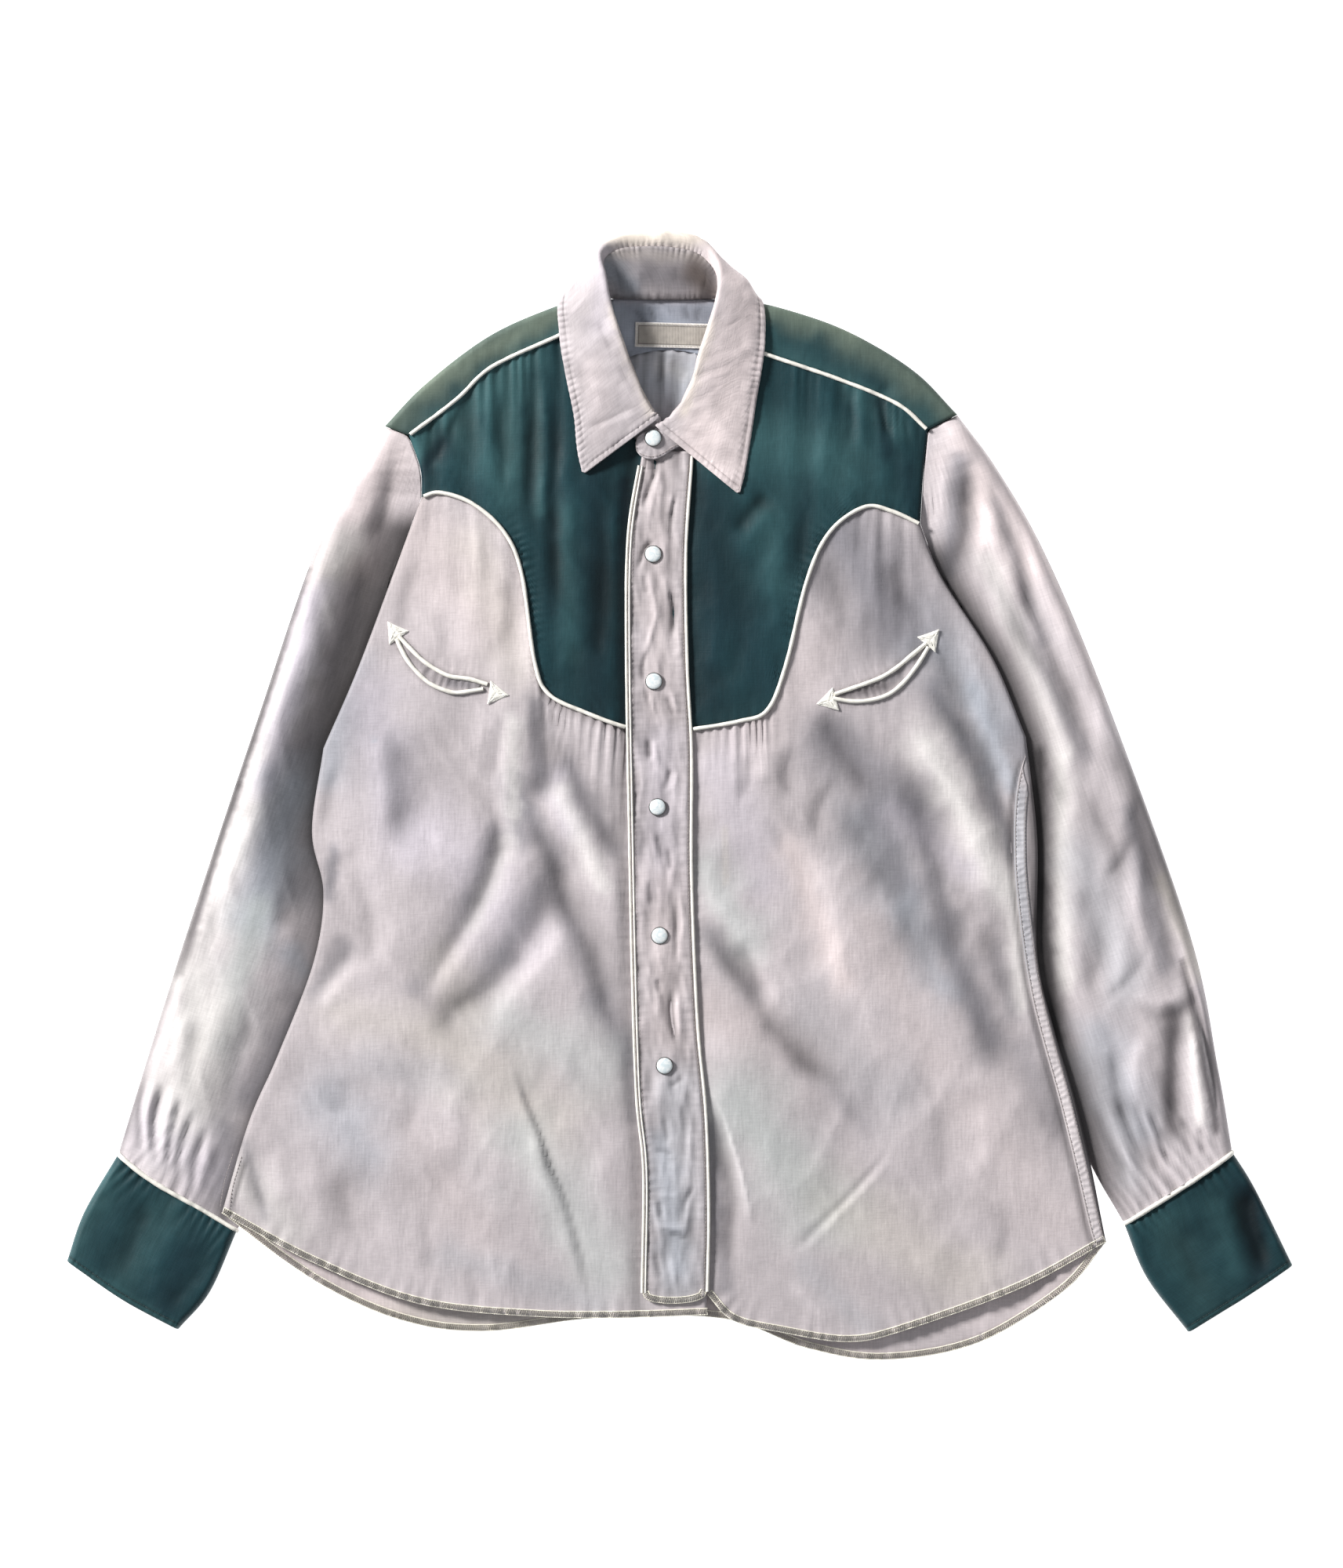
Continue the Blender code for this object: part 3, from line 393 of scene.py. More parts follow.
OUTLINE = {side: outline_x(side) for side in ("left", "right")}


def inside(x, y):
    """How far a point is in from the nearer side of the body; negative out on the sleeves."""
    return np.minimum(x - np.interp(y, *OUTLINE["left"]), np.interp(y, *OUTLINE["right"]) - x)


def over_sleeve(x, y):
    """0 at the yoke and 1 from a little way below it, where the sleeve is tucked under the body."""
    level = np.where(x < 0, ARMHOLE["left"][3][1], ARMHOLE["right"][3][1])
    return ease((level - 2 - y) / 22)


def back_folds(x, y):
    """The relief of the back: pleats under the yoke seam in the neck, and waves at the hem."""
    low = ease((-325 - y) / 30)
    hem = 0.7 * unevenness(x, y, 26, 5) * low + 0.5 * puckers(x, y, smooth(BACK_HEM, 60), 9, 7, 0.7, 6)
    neck = drapes(x, y, BACK_SEAM, 6.2, 44, 2.4, 7, -62, 52) + drapes(x, y, BACK_SEAM, 11, 60, 1.5, 9, -62, 52)
    return hem + neck + creased(x, y, BACK_CREASES)


def back_height(x, y):
    """The height of the back's upper face."""
    lift = SIDE_LIFT * over_sleeve(x, y) * (1 - ease((inside(x, y) - SIDE_LIFT_WIDTH) / 30))
    return CLOTH + lift + np.maximum(back_folds(x, y) + 0.6, 0)


CRUMPLE = 0.4           # depth of the small dents that bump gives the cloth


def gabardine(name, mottle, rib, sheen):
    """Twill-woven rayon: the tint of each place, uneven in small patches, with slanting ribs and a soft sheen."""
    made, add, shade = material(name, Sheen_Weight=sheen, Sheen_Roughness=0.45, Specular_IOR_Level=0.25)

    def plus(first, second):
        return add("Math", {0: first, 1: second}, operation="ADD").outputs[0]

    def times(first, second):
        return add("Math", {0: first, 1: second}, operation="MULTIPLY").outputs[0]

    def clouds(vector, scale, detail, stretch=(1, 1, 1)):
        """Soft clouds; a stretched one makes streaks along the warp."""
        stretched = add("Mapping", {"Scale": stretch, "Vector": vector}).outputs[0]
        return add("TexNoise", {"Scale": scale, "Detail": detail, "Vector": stretched}).outputs["Fac"]

    place = add("TexCoord", {}).outputs["Object"]
    weave = add("UVMap", {}, uv_map="weave").outputs[0]
    # the fade colours hold faded tints together with painted light and shade
    fade = add("Attribute", {}, attribute_name="fade").outputs["Color"]

    broad, small = clouds(place, 34, 3), clouds(place, 160, 4)
    streaks, slubs = clouds(weave, 1, 4, (700, 60, 1)), clouds(weave, 1, 3, (110, 1100, 1))
    patchy = plus(times(broad, 1.6 * mottle), times(small, 0.9 * mottle))
    light = plus(plus(patchy, plus(times(streaks, 0.36), times(slubs, 0.28))), 1 - 1.25 * mottle - 0.32)
    tint = add("VectorMath", {0: fade, "Scale": light}, operation="SCALE").outputs[0]

    slope = (2 * math.pi / 0.00075, 2 * math.pi / 0.0011, 0)
    slant = add("VectorMath", {0: weave, 1: slope}, operation="DOT_PRODUCT").outputs["Value"]
    ribs = add("Math", {0: slant, 1: 0}, operation="SINE").outputs[0]
    relief = plus(times(ribs, 0.06), plus(streaks, slubs))
    dented = {"Strength": 1.0, "Distance": CRUMPLE * MM, "Height": clouds(weave, 1, 5, (120, 70, 1))}
    ribbed = {"Strength": 1.0, "Distance": rib * MM, "Height": relief, "Normal": add("Bump", dented).outputs[0]}
    shade(Base_Color=tint, Normal=add("Bump", ribbed).outputs[0], Roughness=plus(times(small, 0.2), 0.48))
    return made


def cloth(name, points, colours, finish, thick=CLOTH, grain=None, tube=False):
    """A sheet of cloth: a grid bent to rows of points, which run down the sheet, with its wall grown inwards."""
    rows, columns = points.shape[:2]
    places = (points[::-1] * MM).reshape(-1, 3)
    threads = ((points[..., :2] if grain is None else grain)[::-1] * MM).reshape(-1, 2)
    tones = colours[::-1].reshape(-1, 3)
    bm = bmesh.new()
    bmesh.ops.create_grid(bm, x_segments=columns - 1, y_segments=rows - 1, size=1)
    weave = bm.loops.layers.uv.new("weave")
    # the fade colours hold faded tints together with painted light and shade
    fade = bm.verts.layers.float_color.new("fade")
    bm.verts.index_update()
    for vert, place, colour in zip(bm.verts, places.tolist(), tones.tolist()):
        vert.co = place
        vert[fade] = (*colour, 1)
    threads = threads.tolist()
    for face in bm.faces:
        for corner in face.loops:
            corner[weave].uv = threads[corner.vert.index]
    if tube:
        bmesh.ops.remove_doubles(bm, verts=bm.verts[:], dist=1e-6)
    piece = object_of(bm, name, finish)
    wall = piece.modifiers.new("wall", "SOLIDIFY")
    wall.thickness = thick * MM
    wall.offset = -1
    return piece


def placed(piece, slot, *nodes):
    """The piece rides on the shirt and stands for its nodes; the slot is not used."""
    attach(piece, "root")
    if nodes:
        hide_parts(*nodes)
    return piece


def blended(add, share, low, high):
    """The colours that a share runs through: low and high are each a share and a colour."""
    ramp = add("ValToRGB", {"Fac": share})
    for stop, (position, colour) in zip(ramp.color_ramp.elements, (low, high)):
        stop.position = position
        stop.color = (*colour, 1)
    return ramp.outputs["Color"]


def satin(name, colour, relief):
    """Cream thread or piping cloth: fine slanting ribs, small soiled spots and a silky gloss."""
    made, add, shade = material(name, Sheen_Weight=0.2, Roughness=0.5)
    place = add("TexCoord", {}).outputs["Object"]
    soil = add("TexNoise", {"Scale": 210, "Detail": 4, "Vector": place}).outputs["Fac"]
    ribs = add("TexWave", {"Scale": 260, "Distortion": 1.5, "Vector": place}, bands_direction="DIAGONAL")
    bump = add("Bump", {"Distance": relief * MM, "Height": ribs.outputs["Fac"]})
    tint = blended(add, soil, (0.28, np.array(colour) * 0.82), (0.55, colour))
    shade(Base_Color=tint, Normal=bump.outputs[0])
    return made


def tubes(name, lines, radius, finish, roundness, closed=False, sizes=1.0):
    """Round threads or cords along lines, as one piece; the sizes make them thicker and thinner."""
    data = bpy.data.curves.new(name, "CURVE")
    data.dimensions = "3D"
    data.bevel_depth = radius * MM
    data.bevel_resolution = roundness
    data.use_fill_caps = not closed
    for line in lines:
        spline = data.splines.new("POLY")
        spline.points.add(len(line) - 1)
        for point, place, size in zip(spline.points, line, np.broadcast_to(sizes, len(line))):
            point.co = (*(np.asarray(place) * MM), 1)
            point.radius = size
        spline.use_cyclic_u = closed
    data.materials.append(finish)
    piece = bpy.data.objects.new(name, data)
    bpy.context.collection.objects.link(piece)
    return piece


def spaced(line, pitch):
    """The points of a line again, a pitch or so apart."""
    return evenly(line, max(2, round(distances(line)[-1] / pitch) + 1))


def laid(line, height, lift):
    """A line laid on the cloth and lifted a little above it."""
    return np.column_stack([line, height(*line.T) + lift])


THREAD = 0.2            # radius of a sewing thread


def stitches(name, line, finish, slot, pitch=2.6):
    """A row of stitches: short threads end to end, each pulled down into the cloth at its ends."""
    points = spaced(line, pitch / 4)
    strands = []
    for k in range(0, len(points) - 3, 4):
        ends = points[[k, k + 3]] - (0, 0, 0.15)
        strands.append([ends[0], (points[k + 1] + points[k + 2]) / 2 + (0, 0, 0.22), ends[1]])
    return placed(tubes(name, strands, THREAD, finish, 0), slot)


OVERLOCK = 3.8          # width of the overlock stitches along a raw edge


def overlock(name, edge, height, inwards, slot):
    """Overlock stitches: a thread that zigzags over a raw edge, held by a chain along its inner side."""
    line = spaced(edge, 0.75)
    inner = moved_in(line, inwards * OVERLOCK)
    outer = moved_in(line, -inwards * 0.25)
    inner_z = height(inner[:, 0], inner[:, 1]) + 0.3
    outer_z = height(*moved_in(line, inwards * 2.4).T) + 0.05
    zigzag = np.column_stack([outer, outer_z])
    zigzag[::2] = np.column_stack([inner, inner_z])[::2]
    wave = 0.25 * np.cos(np.arange(len(line)) * math.pi / 2)
    chain = np.column_stack([moved_in(inner, inwards * 0.1), inner_z + 0.05 + wave * 0.4])
    rim = np.column_stack([outer, outer_z - 0.25])
    return placed(tubes(name, [zigzag, chain, rim], 0.42, overlock_thread, 0), slot)


overlock_thread = satin("overlock_thread", (0.97, 0.93, 0.80), 0.04)
BACK_STEPS = (110, 116)
back_points = patch(
    smooth(BACK_SEAM, BACK_STEPS[0]),
    smooth(BACK_HEM, BACK_STEPS[0]),
    *(join(smooth(ARMHOLE[side][3:], 50), smooth(SIDE[side], BACK_STEPS[1] - 50)) for side in ("left", "right")),
)
back_x, back_y = back_points[..., 0], back_points[..., 1]
back_gabardine = gabardine("back_gabardine", 0.10, 0.10, 0.12)
# the back's colour carries painted light and shade on its folds
back_panel = cloth(
    "back_panel",
    np.dstack([back_points, back_height(back_x, back_y)]),
    worn_and_shaded(faded_and_shaded(back_x, back_y, "mauve", BACK_FADES), 1.6 * back_folds(back_x, back_y)),
    back_gabardine,
)
placed(back_panel, "back_cloth", "back")
back_edge = overlock("back_overlock", smooth(BACK_HEM, 200), back_height, -1, "back_cloth")


# ---------------------------------------------------------------- back yoke
# The green yoke comes from the shoulder seams over the folds of the shoulders and goes down the back
# to its seam. The sun has bleached it to straw along the folds.

SHOULDER_FOLD = {
    "left": [(-206, 260), (-178, 289), (-133, 323), (-86, 344), (-53, 353)],
    "right": [(195, 268), (164, 299), (119, 326), (74, 342), (31, 351)],
}
SHOULDER_SEAM = {
    "left": [(-189, 253), (-156, 278), (-131, 301), (-84, 323), (-60, 335)],
    "right": [(174, 257), (153, 275), (113, 292), (58, 311), (36, 321)],
}
CROWN = 9.5             # height of the fronts over the middle of the body
ARMHOLE_EDGE = 8.3
PLACKET_BED = 9.0       # height of the fronts under the placket
PLACKET_EDGE = {
    "left": [(-30, 233), (-35, 180), (-36, 100), (-34, -20), (-32, -119), (-29, -209), (-24, -263), (-25, -347)],
    "right": [(8, 233), (4, 170), (5, 92), (8, 31), (8, -55), (12, -155), (18, -222), (20, -289), (19, -346)],
}
YOKE_SEAM = {
    "left": [(-180, 210), (-167, 213), (-144, 205), (-122, 185), (-110, 156), (-101, 95), (-91, 72), (-65, 59),
             (-34, 48), (6, 40)],
    "right": [(169, 191), (149, 200), (130, 203), (106, 186), (90, 153), (75, 93), (62, 61), (42, 53), (7, 47)],
}
FRONT_CREASES = [
    # left front
    ((-101, 81, -103, 50, -100, 17, -110, -12), 12, -3.6),
    ((-111, 1, -92, -35, -85, -71, -68, -104, -59, -133, -52, -156, -36, -181), 9, -4.4, 0.2),
    ((-99, 48, -79, 21, -64, -5, -50, -28, -35, -54), 10, -3.4),
    ((-91, 28, -81, -5, -68, -32, -56, -60, -44, -95, -38, -123), 12, 2.8),
    ((-124, 75, -124, 34, -124, 1, -119, -21, -104, -51), 9, 2),
    ((-146, 17, -132, -14, -128, -34, -136, -54, -148, -76, -163, -100, -178, -126, -191, -148), 8, -4, -0.1),
    ((-118, -13, -120, -50, -135, -77, -148, -98, -164, -123, -179, -146), 12, 2.3),
    ((-82, -38, -95, -64, -105, -82, -116, -102, -130, -119, -146, -132, -162, -150, -177, -175), 12, -3.9, -0.1),
    ((-77, -68, -90, -101, -109, -126, -128, -149, -152, -175), 13, 2.6),
    ((-206, 60, -199, 32, -193, 8, -204, -40), 13, -1.5, 0.2), ((-210, 56, -208, 15, -207, -24), 7, 1.6),
    ((-243, 28, -248, -1, -253, -25), 5, -2.4), ((-237, -31, -241, -50, -249, -71), 7, -2),
    ((-234, -24, -237, -51, -243, -73), 5, 1.6), ((-229, -46, -222, -82, -216, -120), 7, -1.8),
    ((-228, -98, -244, -117, -258, -139), 9, -1.8), ((-224, -109, -239, -130, -255, -153), 8, 2),
    ((-117, -181, -109, -207, -100, -230, -91, -256, -82, -278,
      -76, -302, -69, -325, -64, -350, -61, -365), 2.8, -2.6, 0.5),
    ((-122, -183, -115, -211, -106, -236, -97, -263, -88, -288, -79, -315, -73, -343, -68, -362), 6, 1.7, -0.2),
    ((-140, 70, -143, 31, -139, 1), 6, 1.3), ((-125, 67, -128, 37, -132, 9), 5, -1.1),
    ((-199, -178, -190, -211, -194, -244), 9, -1.5), ((-239, -189, -241, -207, -243, -225), 12, -1),
    ((-168, -189, -160, -227, -163, -260), 10, 1.6), ((-306, -241, -299, -269, -289, -297), 4.5, -2.2, 0.2),
    ((-289, -244, -285, -266, -280, -285), 8, 1.8), ((-136, -310, -131, -328, -127, -350), 2.4, 1.8, -0.3),
    ((-116, -315, -121, -331, -124, -348), 2.6, 1.4, -0.3), ((-148, -326, -144, -343, -140, -358), 3.2, -1.3),
    ((-185, -288, -177, -315, -179, -337), 6, -1.3), ((-240, -255, -234, -288, -228, -315), 9, -1.4),
    ((-259, -255, -256, -288, -251, -310), 8, 1.2), ((-215, -266, -209, -299, -201, -326), 8, 1.2),
    ((-58, -238, -55, -277, -53, -321), 8, 1.2), ((-141, -200, -134, -233, -124, -266), 10, 1.1),
    ((-152, 152, -156, 119, -154, 92), 9, 1.2), ((-168, 141, -165, 108, -168, 86), 8, -1.3),
    ((-186, 169, -196, 130, -205, 86), 8, -1.5, 0.2), ((-124, 163, -121, 125, -124, 92), 8, -1.3),
    ((-109, 141, -107, 108, -110, 75), 8, 1.5),
    # right front
    ((96, 72, 108, 42, 124, 17, 141, -6), 10, -3),
    ((129, 56, 151, 23, 162, -5, 172, -32, 182, -62, 188, -93), 15, -3.4, 0.2),
    ((184, -57, 188, -93, 193, -121, 205, -149, 219, -174, 241, -207), 14, -2.4, 0.2),
    ((105, 26, 113, -10, 128, -29, 142, -51, 152, -75, 165, -104, 184, -135), 14, -2.6),
    ((153, 78, 170, 38, 186, 4, 205, -31, 222, -62, 235, -93), 15, 3.6, -0.2),
    ((168, 83, 196, 50, 211, 23, 218, -3, 227, -27, 234, -56), 10, -3.8, 0.1),
    ((196, 83, 218, 46, 229, 17, 234, -17), 8, 2.4), ((210, -84, 223, -115, 234, -148), 8, -0.9),
    ((197, -82, 208, -116, 222, -153), 9, 1), ((234, -49, 235, -95, 241, -139, 252, -183), 8, 2.4),
    ((69, -16, 92, -48, 104, -79, 113, -112, 123, -148, 142, -183), 13, 3.4),
    ((10, -68, 26, -100, 45, -128, 60, -156, 85, -181, 109, -204, 133, -233), 9, -3.4, 0.2),
    ((6, -50, 25, -77, 46, -105, 66, -137, 88, -166), 9, 2.2), ((43, 34, 45, 15, 41, -5), 6, -1.8),
    ((77, 42, 74, 17, 76, -7), 6, -1.8), ((60, 42, 58, 9), 8, 1.5), ((40, -95, 52, -123, 54, -145), 7, -2),
    ((18, -197, 30, -226, 40, -255, 46, -282, 51, -310), 2.4, 3.2, 0.5),
    ((13, -200, 24, -231, 32, -260, 35, -299, 32, -348), 7, -3.4, -0.2),
    ((148, -243, 118, -277, 97, -298, 75, -321), 3.2, -1.9, 0.3),
    ((152, -247, 122, -281, 101, -302, 80, -325), 4.4, 1.5, -0.2), ((254, -178, 264, -211, 260, -244), 9, -2.2),
    ((204, -205, 211, -238, 206, -271), 12, 1.6), ((173, -211, 182, -238, 178, -277), 10, -1.4),
    ((222, -277, 228, -304, 223, -332), 8, -1.3), ((199, -282, 204, -310, 200, -332), 8, 1.2),
    ((74, -337, 90, -351, 109, -370), 4, 1.7), ((151, -299, 167, -321, 184, -343), 8, 1.3),
    ((100, 174, 110, 141, 107, 108), 9, -1.8), ((121, 180, 129, 149, 123, 119), 9, 1.6),
    ((145, 174, 156, 141, 167, 119), 9, -2), ((192, 119, 205, 92, 221, 59), 8, 2.2),
    ((179, 111, 191, 81, 206, 56), 8, -2.2), ((108, 20, 96, -13, 92, -35), 7, -1.6),
]
YOKE_CREASES = [
    ((-133, 296, -136, 251, -133, 212), 6, 1.4), ((-124, 290, -126, 250, -124, 205), 5, -1.2),
    ((-109, 304, -105, 251, -109, 190), 6, -1.6, 0.2), ((-97, 300, -94, 250, -98, 190), 5, 1.5),
    ((-88, 290, -91, 207, -88, 120), 7, -1.7), ((-76, 250, -78, 180, -74, 100), 8, 1.6),
    ((-60, 225, -56, 163, -60, 80), 7, -1.6), ((-47, 220, -50, 150, -46, 90), 6, 1.3),
    ((-152, 282, -166, 250, -180, 226), 6, -2.4, 0.3), ((-160, 262, -168, 238, -172, 220), 4, 1.4),
    ((139, 290, 142, 268, 147, 250), 3.4, -1.8, 0.3), ((146, 286, 150, 262, 153, 240), 4, 1.6),
    ((151, 276, 163, 240, 160, 200), 4, -1.7, 0.2), ((124, 294, 128, 262, 126, 240), 5, 1.3),
    ((114, 296, 117, 266, 114, 240), 5, -1.3), ((100, 300, 102, 262, 100, 220), 7, 1.2),
    ((61, 216, 48, 200, 36, 184), 6, -1.8, 0.2), ((66, 206, 52, 188, 40, 168), 7, 1.4),
    ((65, 190, 62, 140, 60, 90), 8, 1), ((35, 170, 38, 120, 36, 76), 7, -1), ((22, 190, 24, 120, 22, 70), 5, 0.8),
    ((88, 240, 84, 190, 80, 150), 8, -1.1),
]


def placket_sides(y):
    """The x of the placket's left and right edges."""
    edges = [smooth(PLACKET_EDGE[side], 60)[::-1] for side in ("left", "right")]
    return [np.interp(y, edge[:, 1], edge[:, 0]) for edge in edges]


def from_placket(x, y):
    left, right = placket_sides(y)
    return np.maximum(np.maximum(left - x, x - right), 0)


def near_shoulder(y):
    """0 over the body, rising to 1 at the shoulders' folds."""
    return ease((y - 225) / 60)


def near_hem(y):
    """0 over the body, rising to 1 at the hem."""
    return ease((-250 - y) / 110)


def front_folds(x, y):
    """The relief of the fronts and their yokes: large folds, small dents and the folds of the yokes."""
    d = inside(x, y)
    calm = ease((d - 1) / 16) * ease(from_placket(x, y) / 12 + 0.1) * (1 - near_shoulder(y))
    body = creased(x, y, FRONT_CREASES) + rumple(x, y, 11)
    yokes = creased(x, y, YOKE_CREASES) * ease((d - 3) / 20) * ease(from_placket(x, y) / 10)
    left, right = placket_sides(y)
    beside = np.where(x < (left + right) / 2, left - x, x - right)
    dip = np.where(x < (left + right) / 2, 2.3, 1.3) * bell(beside - 2.5, 6.5) * (beside > -3)
    return body * calm * (1 - 0.35 * near_hem(y)) + yokes - dip * (1 - near_shoulder(y))


def front_height(x, y):
    """The height of the fronts' and front yokes' upper face, with the larger folds."""
    d = inside(x, y)
    below = over_sleeve(x, y)
    edge = (ARMHOLE_EDGE - 0.9) * (1 - below) + (SIDE_LIFT + 2 * CLOTH + 0.3) * below
    crown = CROWN + 0.8 + (SHOULDER - CROWN - 0.8) * near_shoulder(y) - 2.2 * near_hem(y)
    rolled = 1.7 * rounded(d, 5)
    broad = (crown - edge - 1.7) * ease((d - 1) / 60)
    top = edge + rolled + broad
    in_placket = 1 - ease(from_placket(x, y) / 30)
    top += (PLACKET_BED - top) * in_placket * ease((d - 40) / 40) * (1 - ease((y - 240) / 45))
    left, right = placket_sides(y)
    covered = ease(np.minimum(x - left, right - x) / 6) * (1 - ease((y - 246) / 12))
    folded = top + front_folds(x, y) * (1 - 0.8 * covered) - 1.3 * covered
    return np.maximum(folded, back_height(x, y) + CLOTH + 0.3)


YOKE_FADES = [
    (-206, 262, -178, 290, 14, "straw", 0.55), (-178, 290, -60, 352, 11, "straw", 0.75),
    (30, 352, 120, 326, 10, "straw", 0.7), (120, 326, 195, 268, 12, "straw", 0.55),
    (-160, 262, -70, 330, 12, "worn and highlit teal", 0.6), (40, 325, 170, 262, 12, "worn and highlit teal", 0.55),
]
SHOULDER_STEPS = 62
NECK_STEPS = 36
NECK_SEAM_BACK = 349.0


def yoke_column(seam, fold, end):
    """One line of the back yoke, from the shoulder seam over the fold and down to the back seam."""
    out = (fold - seam) / np.linalg.norm(fold - seam)
    radius = SHOULDER / 2
    root = fold - out * radius
    start = float(front_height(seam[:1], seam[1:])[0])
    path = [(*(seam + (root - seam) * share), start + (SHOULDER - start) * ease(share * 1.4)) for share in
            np.linspace(0, 1, 9)]
    for turn in np.radians(np.linspace(165, 15, 11)):
        path.append((*(root + out * radius * math.sin(turn)), radius - radius * math.cos(turn)))
    path += [(*(root + (end - root) * share), 0.0) for share in np.linspace(0, 1, 14)[1:]]
    return path


back_seam = smooth(BACK_SEAM, 2 * SHOULDER_STEPS + NECK_STEPS + 1)
yoke_columns = []
for side in ("left", "right"):
    seams = smooth(SHOULDER_SEAM[side], SHOULDER_STEPS)
    folds = smooth(SHOULDER_FOLD[side], SHOULDER_STEPS)
    ends = back_seam if side == "left" else back_seam[::-1]
    arm = smooth(ARMHOLE[side][1:4], 13)
    group = []
    for k in range(SHOULDER_STEPS + 1):
        path = yoke_column(seams[k], folds[k], ends[k])
        pull = max(0.0, 1 - k / 26)
        for step, place in enumerate(arm[1:-1], start=len(path) - 13):
            x, y, z = path[step]
            path[step] = (x + (place[0] - x) * pull, y + (place[1] - y) * pull, z)
        group.append(path)
    yoke_columns.append(group)
neck_columns = []
for k, x in enumerate(np.linspace(-49, 27, NECK_STEPS)):
    end = back_seam[SHOULDER_STEPS + 1 + k]
    start = np.array([x, NECK_SEAM_BACK])
    count = len(yoke_columns[0][0])
    neck_columns.append([(*(start + (end - start) * share), 0.0) for share in np.linspace(0, 1, count)])
yoke_points = np.array(yoke_columns[0] + neck_columns + yoke_columns[1][::-1]).transpose(1, 0, 2)
on_top = yoke_points[..., 2] > 3
ripple = 0.35 * unevenness(yoke_points[..., 0], yoke_points[..., 1], 15, 21)
ripple += 0.3 * unevenness(yoke_points[..., 0] * 1.5, yoke_points[..., 1], 7, 22)
yoke_points[..., 2] += ripple * on_top
yoke_points[..., 2] = np.maximum(yoke_points[..., 2], 0)
green_gabardine = gabardine("green_gabardine", 0.16, 0.10, 0.04)
back_yoke = cloth(
    "back_yoke_panel",
    yoke_points[::-1],
    faded_and_shaded(yoke_points[::-1, :, 0], yoke_points[::-1, :, 1], "teal", YOKE_FADES),
    green_gabardine,
)
placed(back_yoke, "green_cloth", "back_yoke")


# ---------------------------------------------------------------- neck lining and label
# Inside the neck the yoke has a lining of grey-blue twill. A woven label with a plain border is sewn
# to it and hangs over the back below; it is left bare.

# dusk and shade are painted shade along the lining's seams and under the stand
LINING_FADES_AND_SHADE = [
    (-60, 348, 40, 348, 3, "dusk", 0.8), (-50, 336, -40, 322, 12, "steel", 0.4),
    (-10, 342, 30, 334, 10, "shade", 0.35), (-66, 290, 46, 290, 12, "shade", 0.3),
]
LINING_CREASES = [
    ((-33, 344, -26, 335, -22, 328), 1.6, -0.9), ((-22, 346, -19, 338, -17, 333), 1.5, -0.8),
    ((2, 346, 5, 338, 4, 334), 1.8, -1), ((14, 346, 12, 338, 13, 332), 1.6, -0.9),
    ((-12, 346, -8, 338, -8, 334), 2.2, 0.7),
]
LINING_LEVEL = 2.1
lining_top = smooth([(-47, NECK_SEAM_BACK), (25, NECK_SEAM_BACK)], 40)
lining_x = np.linspace(-66, 46, 41)
seam_line = smooth(BACK_SEAM, 80)
lining_bottom = np.column_stack([lining_x, np.interp(lining_x, seam_line[:, 0], seam_line[:, 1]) - 0.5])
lining_points = patch(
    lining_top, lining_bottom, *(smooth([tuple(lining_top[k]), tuple(lining_bottom[k])], 26) for k in (0, -1))
)
lx, ly = lining_points[..., 0], lining_points[..., 1]
lining_relief = creased(lx, ly, LINING_CREASES) + puckers(lx, ly, lining_bottom, 6, 6, 0.4, 32)
lining_relief += 0.35 * unevenness(lx, ly, 17, 31)
# the lining's colour is raised 1.7 times, painted light where the collar shades it, with painted light and shade on
# its creases
neck_lining = cloth(
    "neck_lining",
    np.dstack([lining_points, LINING_LEVEL + lining_relief]),
    1.7 * worn_and_shaded(faded_and_shaded(lx, ly, "slate", LINING_FADES_AND_SHADE), 3.2 * lining_relief),
    gabardine("lining_twill", 0.10, 0.12, 0.10),
)
placed(neck_lining, "lining_cloth", "yoke_lining")

LABEL = {"corner": (-30.5, 333.0), "size": (60.0, 17.5), "tilt": math.radians(1.5), "border": 1.6, "level": 3.3}


def woven_tape():
    """Bare label tape: a fine ribbed weave with a grey woven border, slightly soiled."""
    made, add, shade = material("label_tape", Roughness=0.7)
    fade = add("Attribute", {}, attribute_name="fade").outputs["Color"]
    weave = add("UVMap", {}, uv_map="weave").outputs[0]
    ribs = add("TexWave", {"Scale": 420, "Distortion": 0.6, "Vector": weave}).outputs["Fac"]
    soil = add("TexNoise", {"Scale": 260, "Vector": weave}).outputs["Fac"]
    mix = add("Mix", {"Factor": 0.45, "A": fade, "B": soil}, data_type="RGBA", blend_type="MULTIPLY")
    bump = add("Bump", {"Distance": 0.0001, "Height": ribs})
    shade(Base_Color=mix.outputs["Result"], Normal=bump.outputs[0])
    return made


turn = LABEL["tilt"]
label_u = np.linspace(0, LABEL["size"][0], 101)[None, :, None]
label_v = np.linspace(0, LABEL["size"][1], 31)[:, None, None]
label_points = (
    np.array(LABEL["corner"])
    + label_u * (math.cos(turn), -math.sin(turn))
    - label_v * (math.sin(turn), math.cos(turn))
)
to_edge = np.minimum(
    np.minimum(label_u, LABEL["size"][0] - label_u), np.minimum(label_v, LABEL["size"][1] - label_v)
)[..., 0]
frame_share = (1 - ease((to_edge - LABEL["border"]) / 0.4))[..., None]
line_share = bell(to_edge - LABEL["border"] - 0.7, 0.4)[..., None]
label_tones = 0.8 * tone("beige") * (1 - frame_share) + 1.4 * tone("pale") * frame_share
label_tones = label_tones * (1 - 0.6 * line_share)
label_z = 0.5 * unevenness(label_points[..., 0], label_points[..., 1], 12, 33) + 0.3 * (to_edge < 0.7)
label_points = np.dstack([label_points, LABEL["level"] + label_z])
